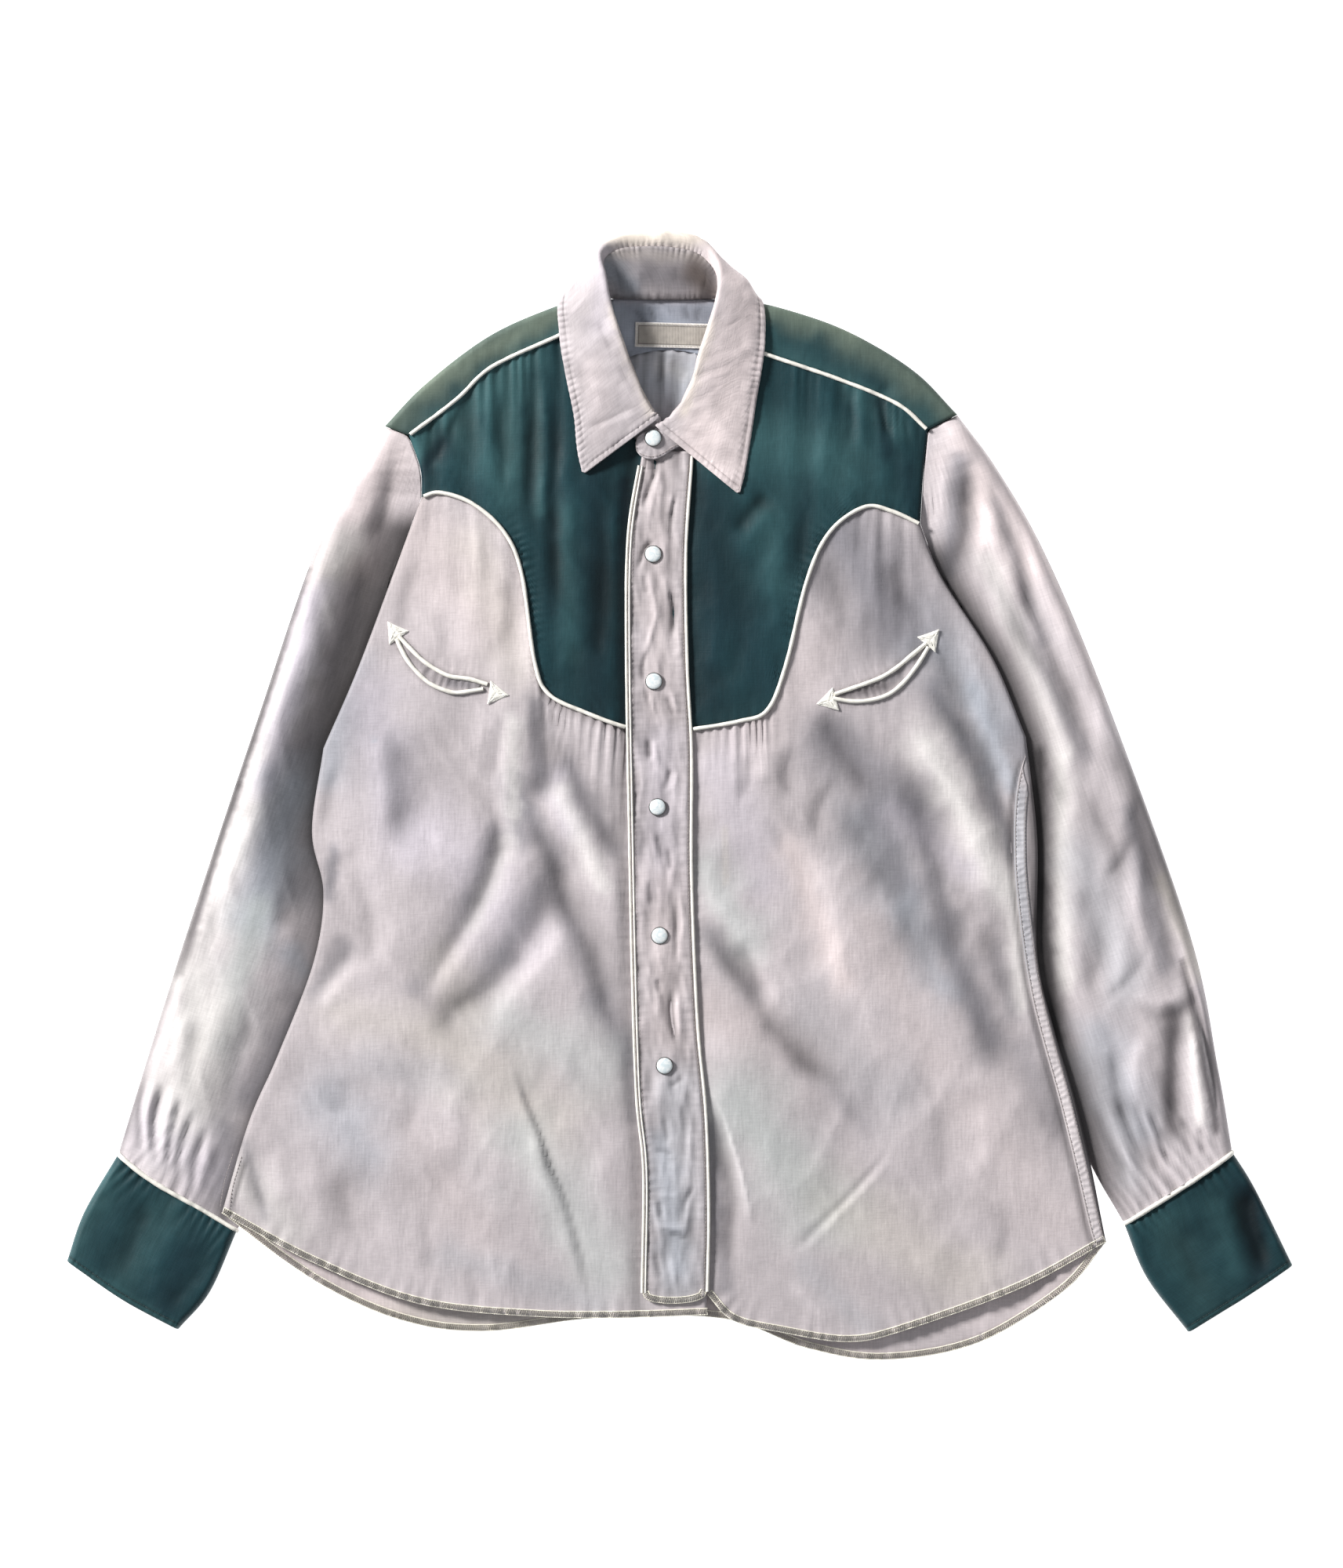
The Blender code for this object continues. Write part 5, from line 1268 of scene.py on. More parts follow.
def front_detail(side, x, y):
    """The finer relief of one front: gathers under the yoke, puckers along its seams and the felled side seam."""
    seam = smooth(YOKE_SEAM[side], 60)
    height = puckers(x, y, seam, 5.5, 5, 0.35, 81, side=-OUT[side])
    for gather in GATHERS[side]:
        height += drapes(x, y, YOKE_SEAM[side], *gather)
    hem = smooth(FRONT_HEM[side], 60)
    height += puckers(x, y, hem, 13, 12, 0.8, 83) + puckers(x, y, hem, 4.5, 3.5, 0.3, 84)
    height += puckers(x, y, smooth(PLACKET_EDGE[side], 60), 9, 6, 0.35, 85)
    for edge, reach, rise in (("upper", 11, 0.7), ("lower", 5, 0.35)):
        mouth = smooth(POCKET_LINES[side, edge], 40)
        middle = distances(mouth)[-1] * 0.3
        height += puckers(x, y, mouth, 5.2, reach, rise, 87, start=middle)
    outside, run = fell(side, x, y)
    return height - 0.9 * bell(outside + 1.6, 1.4) * ease(run / 8)


def front_top(side, x, y):
    return front_height(x, y) + front_detail(side, x, y) * ease((inside(x, y) - 0.5) / 3)


def front_tones(side, x, y):
    """The tints of a front, with wear and painted light and shade on its folds, and painted shade along its
    stitches, seams, pockets and edges.
    """
    colour = faded_and_shaded(x, y, "mauve", FRONT_FADES_AND_SHADE + STAINS)
    colour = worn_and_shaded(colour, front_folds(x, y) + front_detail(side, x, y))
    outside, run = fell(side, x, y)
    depth = 0.5 * ease(run / 8)
    colour = shaded_along(colour, outside + 1.8, 2.0, depth)
    colour = shaded_along(colour, np.maximum(FELL_WIDTH + 2 - outside, 0) + 9 * (outside > 30), 2.0, depth)
    # painted shade on the right body's edge beyond the felled seam, where it rolls under
    if side == "right":
        beyond = ease((outside - FELL_WIDTH + 0.5) / 1.5) * ease((-40 - y) / 70)
        colour = colour * (1 - 0.72 * beyond)[..., None]
    for edge in ("upper", "lower"):
        colour = shaded_along(colour, gap_to(smooth(POCKET_LINES[side, edge], 40), x, y), 2.6, 0.5)
    # painted shade along the body's side edges
    colour = shaded_along(colour, inside(x, y), 3.0, 0.32)
    return shaded_along(colour, gap_to(smooth(YOKE_SEAM[side], 60), x, y), 2.2, 0.45)


mauve_thread = satin("mauve_thread", (0.42, 0.37, 0.36), 0.03)
FRONT_STEPS = (118, 236)
front_gabardine = gabardine("front_gabardine", 0.10, 0.10, 0.12)
for side in ("left", "right"):
    seam = smooth(YOKE_SEAM[side], FRONT_STEPS[0])
    hem = smooth(FRONT_HEM[side], FRONT_STEPS[0])
    arm_rows = FRONT_STEPS[1] // 3
    edge = join(smooth(ARMHOLE[side][3:], arm_rows), smooth(SIDE[side], FRONT_STEPS[1] - arm_rows))
    if side == "left":
        centre = smooth([p for p in UNDERLAP_EDGE if p[1] < 60], FRONT_STEPS[1])
        centre[0] = seam[-1]
        shape = patch(seam, hem, edge, centre)
    else:
        centre = smooth([(7, 47)] + [p for p in PLACKET_EDGE["right"] if p[1] < 40], FRONT_STEPS[1])
        seam, hem = seam[::-1].copy(), hem[::-1].copy()
        seam[0], hem[0] = centre[0], centre[-1]
        shape = patch(seam, hem, centre, edge)
    x, y = shape[..., 0], shape[..., 1]
    raised = np.dstack([shape, front_top(side, x, y)])
    front = cloth("front_panel_" + side, raised, front_tones(side, x, y), front_gabardine)
    placed(front, "front_cloth", "front_" + side)
    hem = smooth(FRONT_HEM[side], 200)
    hem_edge = overlock("front_overlock_" + side, hem, partial(front_top, side), -OUT[side], "front_cloth")
    wide, cut = (0.342, 0.1325) if side == "left" else (0.294, 0.1235)
    for number, (offset, start) in enumerate(zip(FELL_ROWS, (4, 10)), start=1):
        row = moved_in(smooth(FELLED_SEAM[side], 120), OUT[side] * offset)
        row = row[start if side == "right" else 0 :]
        row = laid(row, partial(front_top, side), FELL_RISE + 0.1 if side == "right" else 0.15)
        stitches("fell_stitches_%s_%d" % (side, number), row, mauve_thread, "front_cloth")

# the allowance of the right side seam, folded flat and felled down by its two rows of stitches
seam = smooth(FELLED_SEAM["right"], 300)
along = distances(seam)
wide = 0.6 + (np.minimum(FELL_WIDTH, inside(*seam.T) - 1.2) - 0.6) * ease(along / 28)
across = np.linspace(0, 1, 15)[None, :] * np.maximum(wide, 0.6)[:, None]
normals = moved_in(seam, -1.0) - seam
strip = seam[:, None] + normals[:, None] * across[..., None]
x, y = strip[..., 0], strip[..., 1]
run = np.broadcast_to(along[:, None], across.shape)
edge = np.minimum(across, across[:, -1:] - across)
ladder = np.cos(2 * math.pi * run / 4.2 + 3 * unevenness(run, across, 9, 86)) * ease((edge - 0.8) / 1.6)
rows = sum(bell(across - row, 0.5) for row in FELL_ROWS)
relief = 0.3 * ladder - 0.3 * rows - 0.3 * (1 - ease(edge / 0.6))
# painted light and shade on the strip's ladder, and painted shade along its stitch rows and edges
tones = 1.2 * worn_and_shaded(faded_and_shaded(x, y, "mauve", FELL_FADES), 1.5 * relief)
tones = shaded_along(shaded_along(tones, across - FELL_ROWS[0], 0.45, 0.35), across - FELL_ROWS[1], 0.45, 0.35)
felled = cloth(
    "side_seam_fell",
    np.dstack([strip, front_top("right", x, y) + FELL_RISE + relief]),
    shaded_along(tones, edge, 0.35, 0.4),
    front_gabardine,
)
placed(felled, "front_cloth")


# ---------------------------------------------------------------- front yokes
# Green yokes run from the shoulder seams down to a deep scoop on each front. The cloth hangs in soft
# upright folds from the piped shoulder seams, and is darker towards the middle, where shade is painted
# beside the placket and in the troughs of its folds.

NECK_EDGE = {
    "left": [(-60, 335), (-55, 301), (-42, 268), (-26, 244)],
    "right": [(36, 321), (33, 295), (24, 262), (10, 238)],
}
# deep teal is painted shade beside the placket, at the left armhole and in the troughs of the folds; worn teal is
# worn cloth and painted highlight along ridges
FRONT_YOKE_FADES_AND_SHADE = [
    (-185, 240, -110, 310, 14, "worn and highlit teal", 0.8), (-120, 300, -118, 230, 10, "worn and highlit teal", 0.75),
    (-150, 260, -120, 210, 14, "worn and highlit teal", 0.45), (-100, 290, -98, 200, 5, "worn and highlit teal", 0.45),
    (-165, 250, -182, 225, 7, "deep teal", 0.8), (-80, 200, -76, 100, 8, "worn and highlit teal", 0.35),
    (-60, 230, -56, 60, 12, "deep teal", 0.55), (-38, 220, -36, 60, 6, "deep teal", 0.9),
    (-88, 270, -90, 130, 6, "deep teal", 0.35), (50, 250, 110, 240, 26, "worn and highlit teal", 0.55),
    (60, 200, 70, 150, 14, "worn and highlit teal", 0.35), (150, 260, 120, 290, 10, "worn and highlit teal", 0.5),
    (140, 275, 146, 240, 5, "deep teal", 0.6), (20, 210, 22, 70, 14, "deep teal", 0.5),
    (40, 130, 60, 80, 16, "deep teal", 0.35), (160, 230, 166, 195, 7, "deep teal", 0.5),
    (90, 220, 80, 160, 8, "deep teal", 0.3),
]


def yoke_folds(side, x, y):
    """The relief of a front yoke: folds that hang from the shoulder seam and puckers along its seams."""
    height = puckers(x, y, smooth(YOKE_SEAM[side], 60), 5, 9, 0.9, 91, side=OUT[side])
    height += drapes(x, y, SHOULDER_SEAM[side], 8, 24, 0.9 if side == "left" else 0.5, 92)
    height += drapes(x, y, SHOULDER_SEAM[side], 24, 120, 1.25 if side == "left" else 0.7, 93)
    height += puckers(x, y, smooth(SHOULDER_SEAM[side], 50), 5, 5, 0.25, 97)
    return height + puckers(x, y, smooth(PLACKET_EDGE[side], 60), 8, 7, 0.3, 94)


def front_yoke_top(side, x, y):
    return front_height(x, y) + yoke_folds(side, x, y) * ease((inside(x, y) - 0.5) / 4)


def yoke_tones(side, x, y):
    # painted light and shade on the folds of the yoke, and painted shade along its seam
    colour = worn_and_shaded(faded_and_shaded(x, y, "teal", FRONT_YOKE_FADES_AND_SHADE), 2.2 * (front_folds(x, y) + yoke_folds(side, x, y)))
    return shaded_along(colour, gap_to(smooth(YOKE_SEAM[side], 60), x, y), 2.2, 0.3)


YOKE_STEPS = (96, 118)
for side in ("left", "right"):
    shoulder = smooth(SHOULDER_SEAM[side], YOKE_STEPS[0])
    seam = smooth(YOKE_SEAM[side], YOKE_STEPS[0])
    arm = smooth(ARMHOLE[side][1:4], YOKE_STEPS[1])
    neck = smooth(NECK_EDGE[side], YOKE_STEPS[1] // 3)
    rest = YOKE_STEPS[1] - YOKE_STEPS[1] // 3
    if side == "left":
        middle = [(-8, 219)] + [p for p in UNDERLAP_EDGE if 200 > p[1] > 60]
        shape = patch(shoulder, seam, arm, join(neck, smooth([tuple(neck[-1])] + middle + [tuple(seam[-1])], rest)))
    else:
        middle = [p for p in PLACKET_EDGE["right"] if 233 > p[1] > 60]
        centre = join(neck, smooth([tuple(neck[-1])] + middle + [tuple(seam[-1])], rest))
        shape = patch(shoulder[::-1], seam[::-1], centre, arm)
    x, y = shape[..., 0], shape[..., 1]
    raised = np.dstack([shape, front_yoke_top(side, x, y)])
    yoke = cloth("front_yoke_panel_" + side, raised, yoke_tones(side, x, y), green_gabardine)
    placed(yoke, "green_cloth", "front_yoke_" + side)
    wide, cut = (0.196, 0.0335) if side == "left" else (0.171, 0.0275)


# ---------------------------------------------------------------- piping
# Cream piping, a cord in a folded strip, is caught in the shoulder seams and the yoke seams. It stands
# just proud of the cloth.

def over(height, side):
    """The height of a cord that lies over the puckers of a piece on one side."""
    return lambda x, y: evened(height(side, x, y))


def trimmed(line, start, end):
    """A fine line without its first and last stretches."""
    fine = smooth(line, 400)
    along = distances(fine)
    return fine[(along >= start) & (along <= along[-1] - end)][::3]


for side in ("left", "right"):
    line = trimmed(SHOULDER_SEAM[side], 1, 22 if side == "left" else 20)
    line = laid(line, over(front_yoke_top, side), PIPING * 0.55)
    cord("shoulder_cord_" + side, ["shoulder_piping_" + side], line)
    line = trimmed(YOKE_SEAM[side], 1, 44 if side == "left" else 3)
    cord("yoke_cord_" + side, ["yoke_piping_" + side], laid(line, over(front_top, side), PIPING * 0.6))


# ---------------------------------------------------------------- placket
# The placket band is sewn to the right front and laps over the left one. It has piping and a row of
# stitches along both edges, and washing has drawn it into small dents between them.

PLACKET_CREASES = [
    ((-17, 240, -18, 227), 1.6, -1.3), ((-15, 234, -23, 211, -25, 201), 1.7, -1.5),
    ((-13, 235, -18, 217, -23, 192), 2.4, 1.1), ((-2, 217, -5, 202, -6, 188, -5, 175), 1.7, -1.3),
    ((-5, 213, -8, 197), 2.4, 1), ((-11, 225, -14, 210, -15, 195), 3, 0.8),
    ((-16, 181, -24, 175, -27, 166, -30, 159), 1.5, -1.4), ((-23, 162, -21, 150, -18, 137, -19, 126), 2.2, 1.2),
    ((-26, 157, -23, 141), 1.6, -1.1), ((-11, 159, -8, 141, -5, 128), 2.3, 1.1),
    ((-7, 148, -4, 128, -5, 110), 1.7, -1.4), ((-16, 137, -19, 119, -23, 104, -26, 92), 2.2, 1.3),
    ((-22, 106, -26, 92, -25, 80), 1.6, -1.4), ((-21, 78, -19, 64, -12, 46), 2.2, 1.1),
    ((-24, 78, -21, 65, -17, 51), 1.7, -1.1), ((-10, 73, -4, 56), 1.7, -1.1), ((-7, 77, -1, 58), 2.2, 1),
    ((-22, 42, -21, 25), 1.6, -1.3), ((-18, 42, -18, 23), 2.2, 1.2), ((-6, 22, -11, 4), 1.7, -1.2),
    ((-2, 20, -6, 3), 2.2, 1), ((-16, -24, -12, -45), 2, -0.8), ((-20, -22, -17, -45), 2.4, 0.8),
    ((-8, -34, -6, -53), 1.8, -0.9), ((-22, -57, -19, -77), 1.8, -0.9), ((-16, -61, -15, -82), 2.4, 0.8),
    ((-2, -66, -3, -92, -2, -120), 1.7, -1.5), ((2, -70, 1, -104), 2.2, 1.1), ((-15, -126, -14, -138), 1.6, -1),
    ((-18, -129, -15, -157), 2.4, 0.9), ((-5, -131, -6, -146, -2, -176), 1.6, -1.7),
    ((-1, -136, 0, -170), 2.2, 1.2), ((-15, -194, -14, -216), 2.2, 0.8), ((3, -195, -7, -203), 1.6, -1),
    ((-12, -222, -8, -243), 1.8, -0.9), ((6, -226, 7, -241, 5, -280), 2.2, 1.1), ((-20, -246, -3, -250), 1.8, -1),
    ((-3, -252, -3, -275), 2.2, 0.8), ((11, -270, 3, -285, 3, -297), 1.8, -1.1),
    ((-14, -281, -13, -295), 1.8, -0.9), ((-20, -296, -9, -300, 8, -301), 2.2, 1),
    ((-18, -277, -1, -279), 2.2, 0.7), ((-9, -304, 8, -309), 1.8, -0.9), ((-17, -316, -13, -339), 1.8, -0.9),
    ((-5, -319, -3, -341), 2.2, 0.9),
]
# faded places on the band, with painted shade (dusk) along its left edge
PLACKET_FADES_AND_SHADE = [
    (-16, 230, -14, 60, 16, "rose", 0.35), (-30, 120, -30, 40, 5, "dusk", 0.25),
    (-14, 40, -12, -60, 16, "lilac", 0.4), (-12, -60, -8, -170, 16, "rose", 0.45),
    (-4, -205, 0, -340, 20, "grey", 0.7), (-14, -240, 0, -330, 10, "steel", 0.5),
]
PLACKET_LEVEL = 10.3
PLACKET_TOP = 242.0
PLACKET_END = -347
PLACKET_ROWS = 340
PLACKET_COLUMNS = 30
STITCH_ROWS = {"left": 3.4, "right": 1.5}      # from each edge of the band to its row of stitches


def placket_line(side, steps):
    """One edge of the band; its upper end is hidden under the collar."""
    top = (-25, PLACKET_TOP) if side == "left" else (8, PLACKET_TOP)
    start = (-27, 233) if side == "left" else (8, 233)
    return smooth([top, start] + PLACKET_EDGE[side][1:], steps)


def placket_row(side, steps):
    return moved_in(placket_line(side, steps), -OUT[side] * STITCH_ROWS[side])


def placket_folds(x, y):
    """The relief of the band: long wrinkles between its stitches, and puckers along them."""
    relief = 1.5 * creased(x, y, PLACKET_CREASES) + 0.6 * unevenness(x * 2.2, y * 0.6, 11, 101)
    relief += 0.45 * unevenness(x * 2.4 + 0.5 * y, y * 0.8, 8, 102) + 0.5 * unevenness(x * 0.7, y, 26, 106)
    relief += 0.7 * (0.35 - np.abs(unevenness(x * 1.7 - 0.25 * y, y * 0.45, 13, 108)))
    for number, side in enumerate(("left", "right")):
        row = placket_row(side, 120)
        relief += puckers(x, y, row, 5.4, 5.5, 0.55, 103 + number) - 0.55 * bell(gap_to(row, x, y), 0.7)
    return relief


def placket_height(x, y):
    edges = (placket_line(side, 60)[::-1] for side in ("left", "right"))
    left, right = (np.interp(y, edge[:, 1], edge[:, 0]) for edge in edges)
    share = np.clip((x - left) / (right - left), 0, 1)
    level = PLACKET_LEVEL - 0.9 * ease((y - 225) / 15) + 0.3 * unevenness(x * 0, y, 60, 107)
    edge = 0.7 * (1 - rounded(np.minimum(share, 1 - share) * (right - left), 1.6))
    return level + placket_folds(x, y) * ease(share * 9) * ease((1 - share) * 9) - edge


def band_height(x, y):
    """The height of the band, level from its last stitches to its end."""
    return placket_height(x, np.maximum(y, PLACKET_END))


left_edge, right_edge = placket_line("left", PLACKET_ROWS), placket_line("right", PLACKET_ROWS)
shares = np.linspace(0, 1, PLACKET_COLUMNS + 1)[None, :, None]
placket_points = left_edge[:, None] * (1 - shares) + right_edge[:, None] * shares
sag = 7.5 * np.sqrt(np.maximum(1 - (2 * shares[0, :, 0] - 1) ** 2, 0)) ** 0.8
down = ease((np.arange(PLACKET_ROWS + 1) - PLACKET_ROWS * 0.9) / (PLACKET_ROWS * 0.1))[:, None]
placket_points[..., 1] -= sag[None] * down
px, py = placket_points[..., 0], placket_points[..., 1]
# painted light and shade on the band's wrinkles, and painted shade along its stitch rows
placket_tones = 0.94 * worn_and_shaded(faded_and_shaded(px, py, "mauve", PLACKET_FADES_AND_SHADE), 1.9 * placket_folds(px, py))
for side in ("left", "right"):
    placket_tones = shaded_along(placket_tones, gap_to(placket_row(side, 120), px, py), 0.8, 0.5)
placket_gabardine = gabardine("placket_gabardine", 0.12, 0.12, 0.10)
placket_band = cloth(
    "placket_band", np.dstack([placket_points, band_height(px, py)]), placket_tones, placket_gabardine, thick=0.8
)
placed(placket_band, "placket_cloth", "placket")
for side, out in OUT.items():
    line = moved_in(placket_line(side, 170), out * 0.9)[3 if side == "left" else 1 :]
    level = placket_height(moved_in(line, -out * 2.2)[:, 0], line[:, 1]) - 0.3
    radius = 0.9 if side == "left" else 1.1
    cord("placket_cord_" + side, ["placket_piping_" + side], np.column_stack([line, level]), radius)
    row = laid(placket_row(side, 300)[5:], placket_height, 0.15)
    stitches("placket_stitches_" + side, row, mauve_thread, "placket_cloth")
cord("placket_piping_strip", [], laid(moved_in(placket_line("left", 170), -1.5)[3:], placket_height, 0.25), 0.6)
band_edge = overlock("placket_overlock", placket_points[-1], band_height, -1, "placket_cloth")


# ---------------------------------------------------------------- pockets
# Each smile pocket is a curved mouth between two cords, with a strip of facing behind it, and an
# arrowhead worked in satin stitch at both ends.

ARROWHEADS = {
    # centre x, y and the way that it points, in degrees
    ("left", "outer"): (-198.5, 115, 125),
    ("left", "inner"): (-128.5, 72.5, -8),
    ("right", "outer"): (176, 110, 50),
    ("right", "inner"): (105.5, 67.5, 195),
}
ARROW_SIZE = 9.2
POCKET_CORD = 1.5       # radius of the pockets' cords
embroidery_satin = satin("embroidery_satin", (0.98, 0.96, 0.90), 0.03)
# painted shade on the facing inside each pocket mouth
FACING_SHADE = [
    (-200, 112, -160, 84, 5, "shade", 0.35), (-160, 80, -135, 77, 4, "dusk", 0.5),
    (105, 71, 145, 78, 4, "shade", 0.55), (150, 84, 176, 108, 4, "dusk", 0.6),
]
facing_gabardine = gabardine("facing_gabardine", 0.10, 0.12, 0.08)
for side in ("left", "right"):
    for edge in ("upper", "lower"):
        line = laid(smooth(POCKET_LINES[side, edge], 60), over(front_top, side), 0.8)
        part = "%s_%s" % (edge, side)
        cord("pocket_cord_" + part, ["pocket_piping_" + part], line, POCKET_CORD)
    shares = np.linspace(0, 1, 9)[:, None, None]
    upper, lower = smooth(POCKET_LINES[side, "upper"], 60), smooth(POCKET_LINES[side, "lower"], 60)
    strip = (upper[None] * (1 - shares) + lower[None] * shares)[:, 3:-3]
    if side == "right":
        strip = strip[:, ::-1]
    x, y = strip[..., 0], strip[..., 1]
    belly = np.sin(math.pi * shares[..., 0]) * 0.25
    # the facing is darkened to 0.7, painted shade inside the pocket mouth
    facing = cloth(
        "pocket_facing_cloth_" + side,
        np.dstack([strip, front_top(side, x, y) + 0.6 - belly]),
        0.7 * worn_and_shaded(faded_and_shaded(x, y, "mauve", FACING_SHADE), 2.6 * unevenness(x * 1.6, y * 0.4, 5, 131)),
        facing_gabardine,
        thick=0.4,
    )
    placed(facing, "front_cloth", "pocket_facing_" + side)
    wide, cut = (0.067, 0.0006) if side == "left" else (0.073, 0.0008)


for (side, end), (x, y, degrees) in ARROWHEADS.items():
    heading = math.radians(degrees)
    corners = []
    for angle, reach in ((0, 1.0), (118, 0.98), (242, 0.98)):
        corners.append((x + ARROW_SIZE * reach * math.cos(heading + math.radians(angle)),
                        y + ARROW_SIZE * reach * math.sin(heading + math.radians(angle))))
    corners = np.array(corners)
    base = float(front_top(side, *corners.T).max()) + 0.1
    bm = bmesh.new()
    face = bm.faces.new([bm.verts.new(Vector((cx, cy, base)) * MM) for cx, cy in corners])
    raised = bmesh.ops.extrude_face_region(bm, geom=[face])
    upper = [vert for vert in raised["geom"] if isinstance(vert, bmesh.types.BMVert)]
    bmesh.ops.translate(bm, verts=upper, vec=(0, 0, 0.7 * MM))
    bmesh.ops.recalc_face_normals(bm, faces=bm.faces[:])
    bmesh.ops.bevel(bm, geom=bm.edges[:], offset=0.35 * MM, affect="EDGES", segments=2, profile=0.5, material=-1)
    part = "%s_%s" % (end, side)
    placed(object_of(bm, "arrow_pad_" + part, embroidery_satin), "embroidery", "arrowhead_" + part)
    heart = corners.mean(axis=0)
    strands = []
    for start, finish in zip(corners, np.roll(corners, -1, axis=0)):
        for share in np.linspace(0.02, 0.98, 22):
            foot = start + (finish - start) * share
            tip = foot + (heart - foot) * (0.9 if 0.12 < share < 0.88 else 0.4)
            middle = (foot + tip) / 2
            foot = foot + (foot - heart) * 0.05
            strands.append([(*foot, base + 0.2), (*middle, base + 1.15), (*tip, base + 0.75)])
    placed(tubes("arrow_threads_" + part, strands, 0.28, embroidery_satin, 0), "embroidery")


# ---------------------------------------------------------------- collar stand
# The stand is the band round the neck that carries the collar leaf. Its inner face shows at the back of
# the neck, and its rounded tab laps over in front under the first snap.

STAND_SECTIONS = [
    # neck seam x, y, z,   top x, y, z
    (-39, 256, 10.2, -32, 269, 14), (-45, 270, 10.2, -34.5, 281, 15.5),
    (-51, 287, 10.2, -38, 296, 17), (-55, 304, 10.2, -42.5, 312, 18),
    (-58, 322, 10.2, -46.5, 329, 18.5), (-59, 338, 10.2, -50, 348, 18.5),
    (-51, 348.5, 7, -51.5, 362, 17), (-45, 349, 3.8, -53, 375, 14.5),
    (-36, 349, 3.6, -42, 383.4, 13), (-23, 348.5, 3.6, -26, 385.2, 12.5),
    (-9, 348.5, 3.6, -9, 385, 12.5), (5, 348.5, 3.6, 7, 382.5, 12.5),
    (15, 349, 3.6, 17, 377.5, 13), (23, 349, 3.8, 24.5, 369, 15),
    (28.5, 347.5, 7, 27, 360, 17), (37, 337, 10.2, 26.5, 347, 18.5),
    (35, 318, 10.2, 22.5, 327, 18.5), (34, 299, 10.2, 17, 306, 18),
    (30, 280, 10.2, 12, 288, 17), (22, 263, 10.4, 4.5, 272, 15.8),
    (9, 250, 11, -3, 263, 15), (-4, 243, 11.6, -10, 260, 14.4),
    (-10, 239, 12, -15.5, 258, 14), (-17, 236.2, 12.1, -20.5, 256.5, 13.7),
    (-24.8, 237.3, 12.1, -25.5, 254.5, 13.4),
    (-29.2, 241.2, 12.1, -29, 251.5, 13.1),
    (-30.4, 246, 12.3, -30.3, 248.2, 12.7),
]
# tints of the collar leaf: dusk is painted shade on the left leaf's lower part; blush makes the right leaf paler
COLLAR_FADES_AND_SHADE = [
    (-60, 318, -52, 262, 24, "mauve", 0.6), (-58, 310, -50, 258, 18, "dusk", 0.22),
    (-64, 262, -56, 246, 12, "dusk", 0.3), (-70, 250, -82, 330, 10, "mauve", 0.6),
    (-55, 240, -60, 300, 14, "rose", 0.35), (-70, 232, -30, 262, 9, "mauve", 0.6),
    (-55, 330, -52, 380, 9, "lilac", 0.4), (-58, 392, 24, 391, 7, "cream", 1), (24, 250, 46, 340, 26, "blush", 0.9),
    (42, 214, 12, 255, 18, "blush", 0.8), (48, 280, 44, 220, 10, "rose", 0.3),
    (26, 376, 56, 345, 12, "blush", 0.85), (4, 270, 22, 330, 4, "cream", 0.6),
    (-20, 270, -46, 340, 4, "cream", 0.5),
]
# dusk, shade and umber are painted shade on the stand's inner face inside the neck
STAND_FADES_AND_SHADE = [
    (-48, 380, 20, 378, 5, "cream", 0.35), (-50, 370, -34, 358, 9, "steel", 0.85),
    (-22, 366, 2, 364, 13, "dusk", 0.6), (12, 368, 24, 352, 11, "umber", 0.85),
    (-58, 340, -50, 352, 6, "dusk", 0.6), (-45, 350, 25, 350, 2.4, "shade", 0.6),
    (20, 352, 26, 372, 4, "shade", 0.5),
]
STAND_CREASES = [
    ((-47, 375, -43, 362, -44, 352), 2.6, -0.6), ((-30, 376, -29, 362, -31, 352), 3.4, 0.5),
    ((-4, 374, -3, 360), 3, -0.5), ((18, 376, 18, 362, 16, 353), 2.4, -0.7),
]

LEAF_CREASES = [
    ((-79, 336, -72, 342, -64, 351), 1.8, 0.7), ((-57, 334, -52, 321, -45, 310), 2.2, -0.8),
    ((-53, 336, -46, 323, -40, 310), 2.4, 0.8), ((-45, 305, -37, 292, -28, 280), 2.2, -0.8),
    ((-67, 259, -47, 266, -25, 276), 2.6, -0.9), ((-68, 255, -48, 261, -24, 271), 2.8, 0.9),
    ((-72, 309, -68, 290, -66, 273), 3, -0.6), ((-63, 301, -58, 281, -54, 270), 3, 0.7),
    ((-50, 240, -41, 251, -34, 258), 2, -0.7), ((2, 291, 19, 298, 40, 305), 2.4, -0.8),
    ((3, 286, 20, 293, 41, 301), 2.4, 0.8), ((30, 325, 38, 332, 47, 337), 2, -0.7),
    ((10, 273, 21, 284, 32, 292), 2.4, -0.8), ((-8, 264, 3, 271, 14, 275), 2.2, 0.8),
    ((-6, 258, 10, 255, 21, 250), 2.4, -0.8), ((16, 229, 27, 246, 35, 262), 3, 0.7),
    ((32, 369, 41, 356, 46, 342), 3.4, -0.6), ((-68, 378, -73, 361, -76, 347), 3.4, -0.6),
]


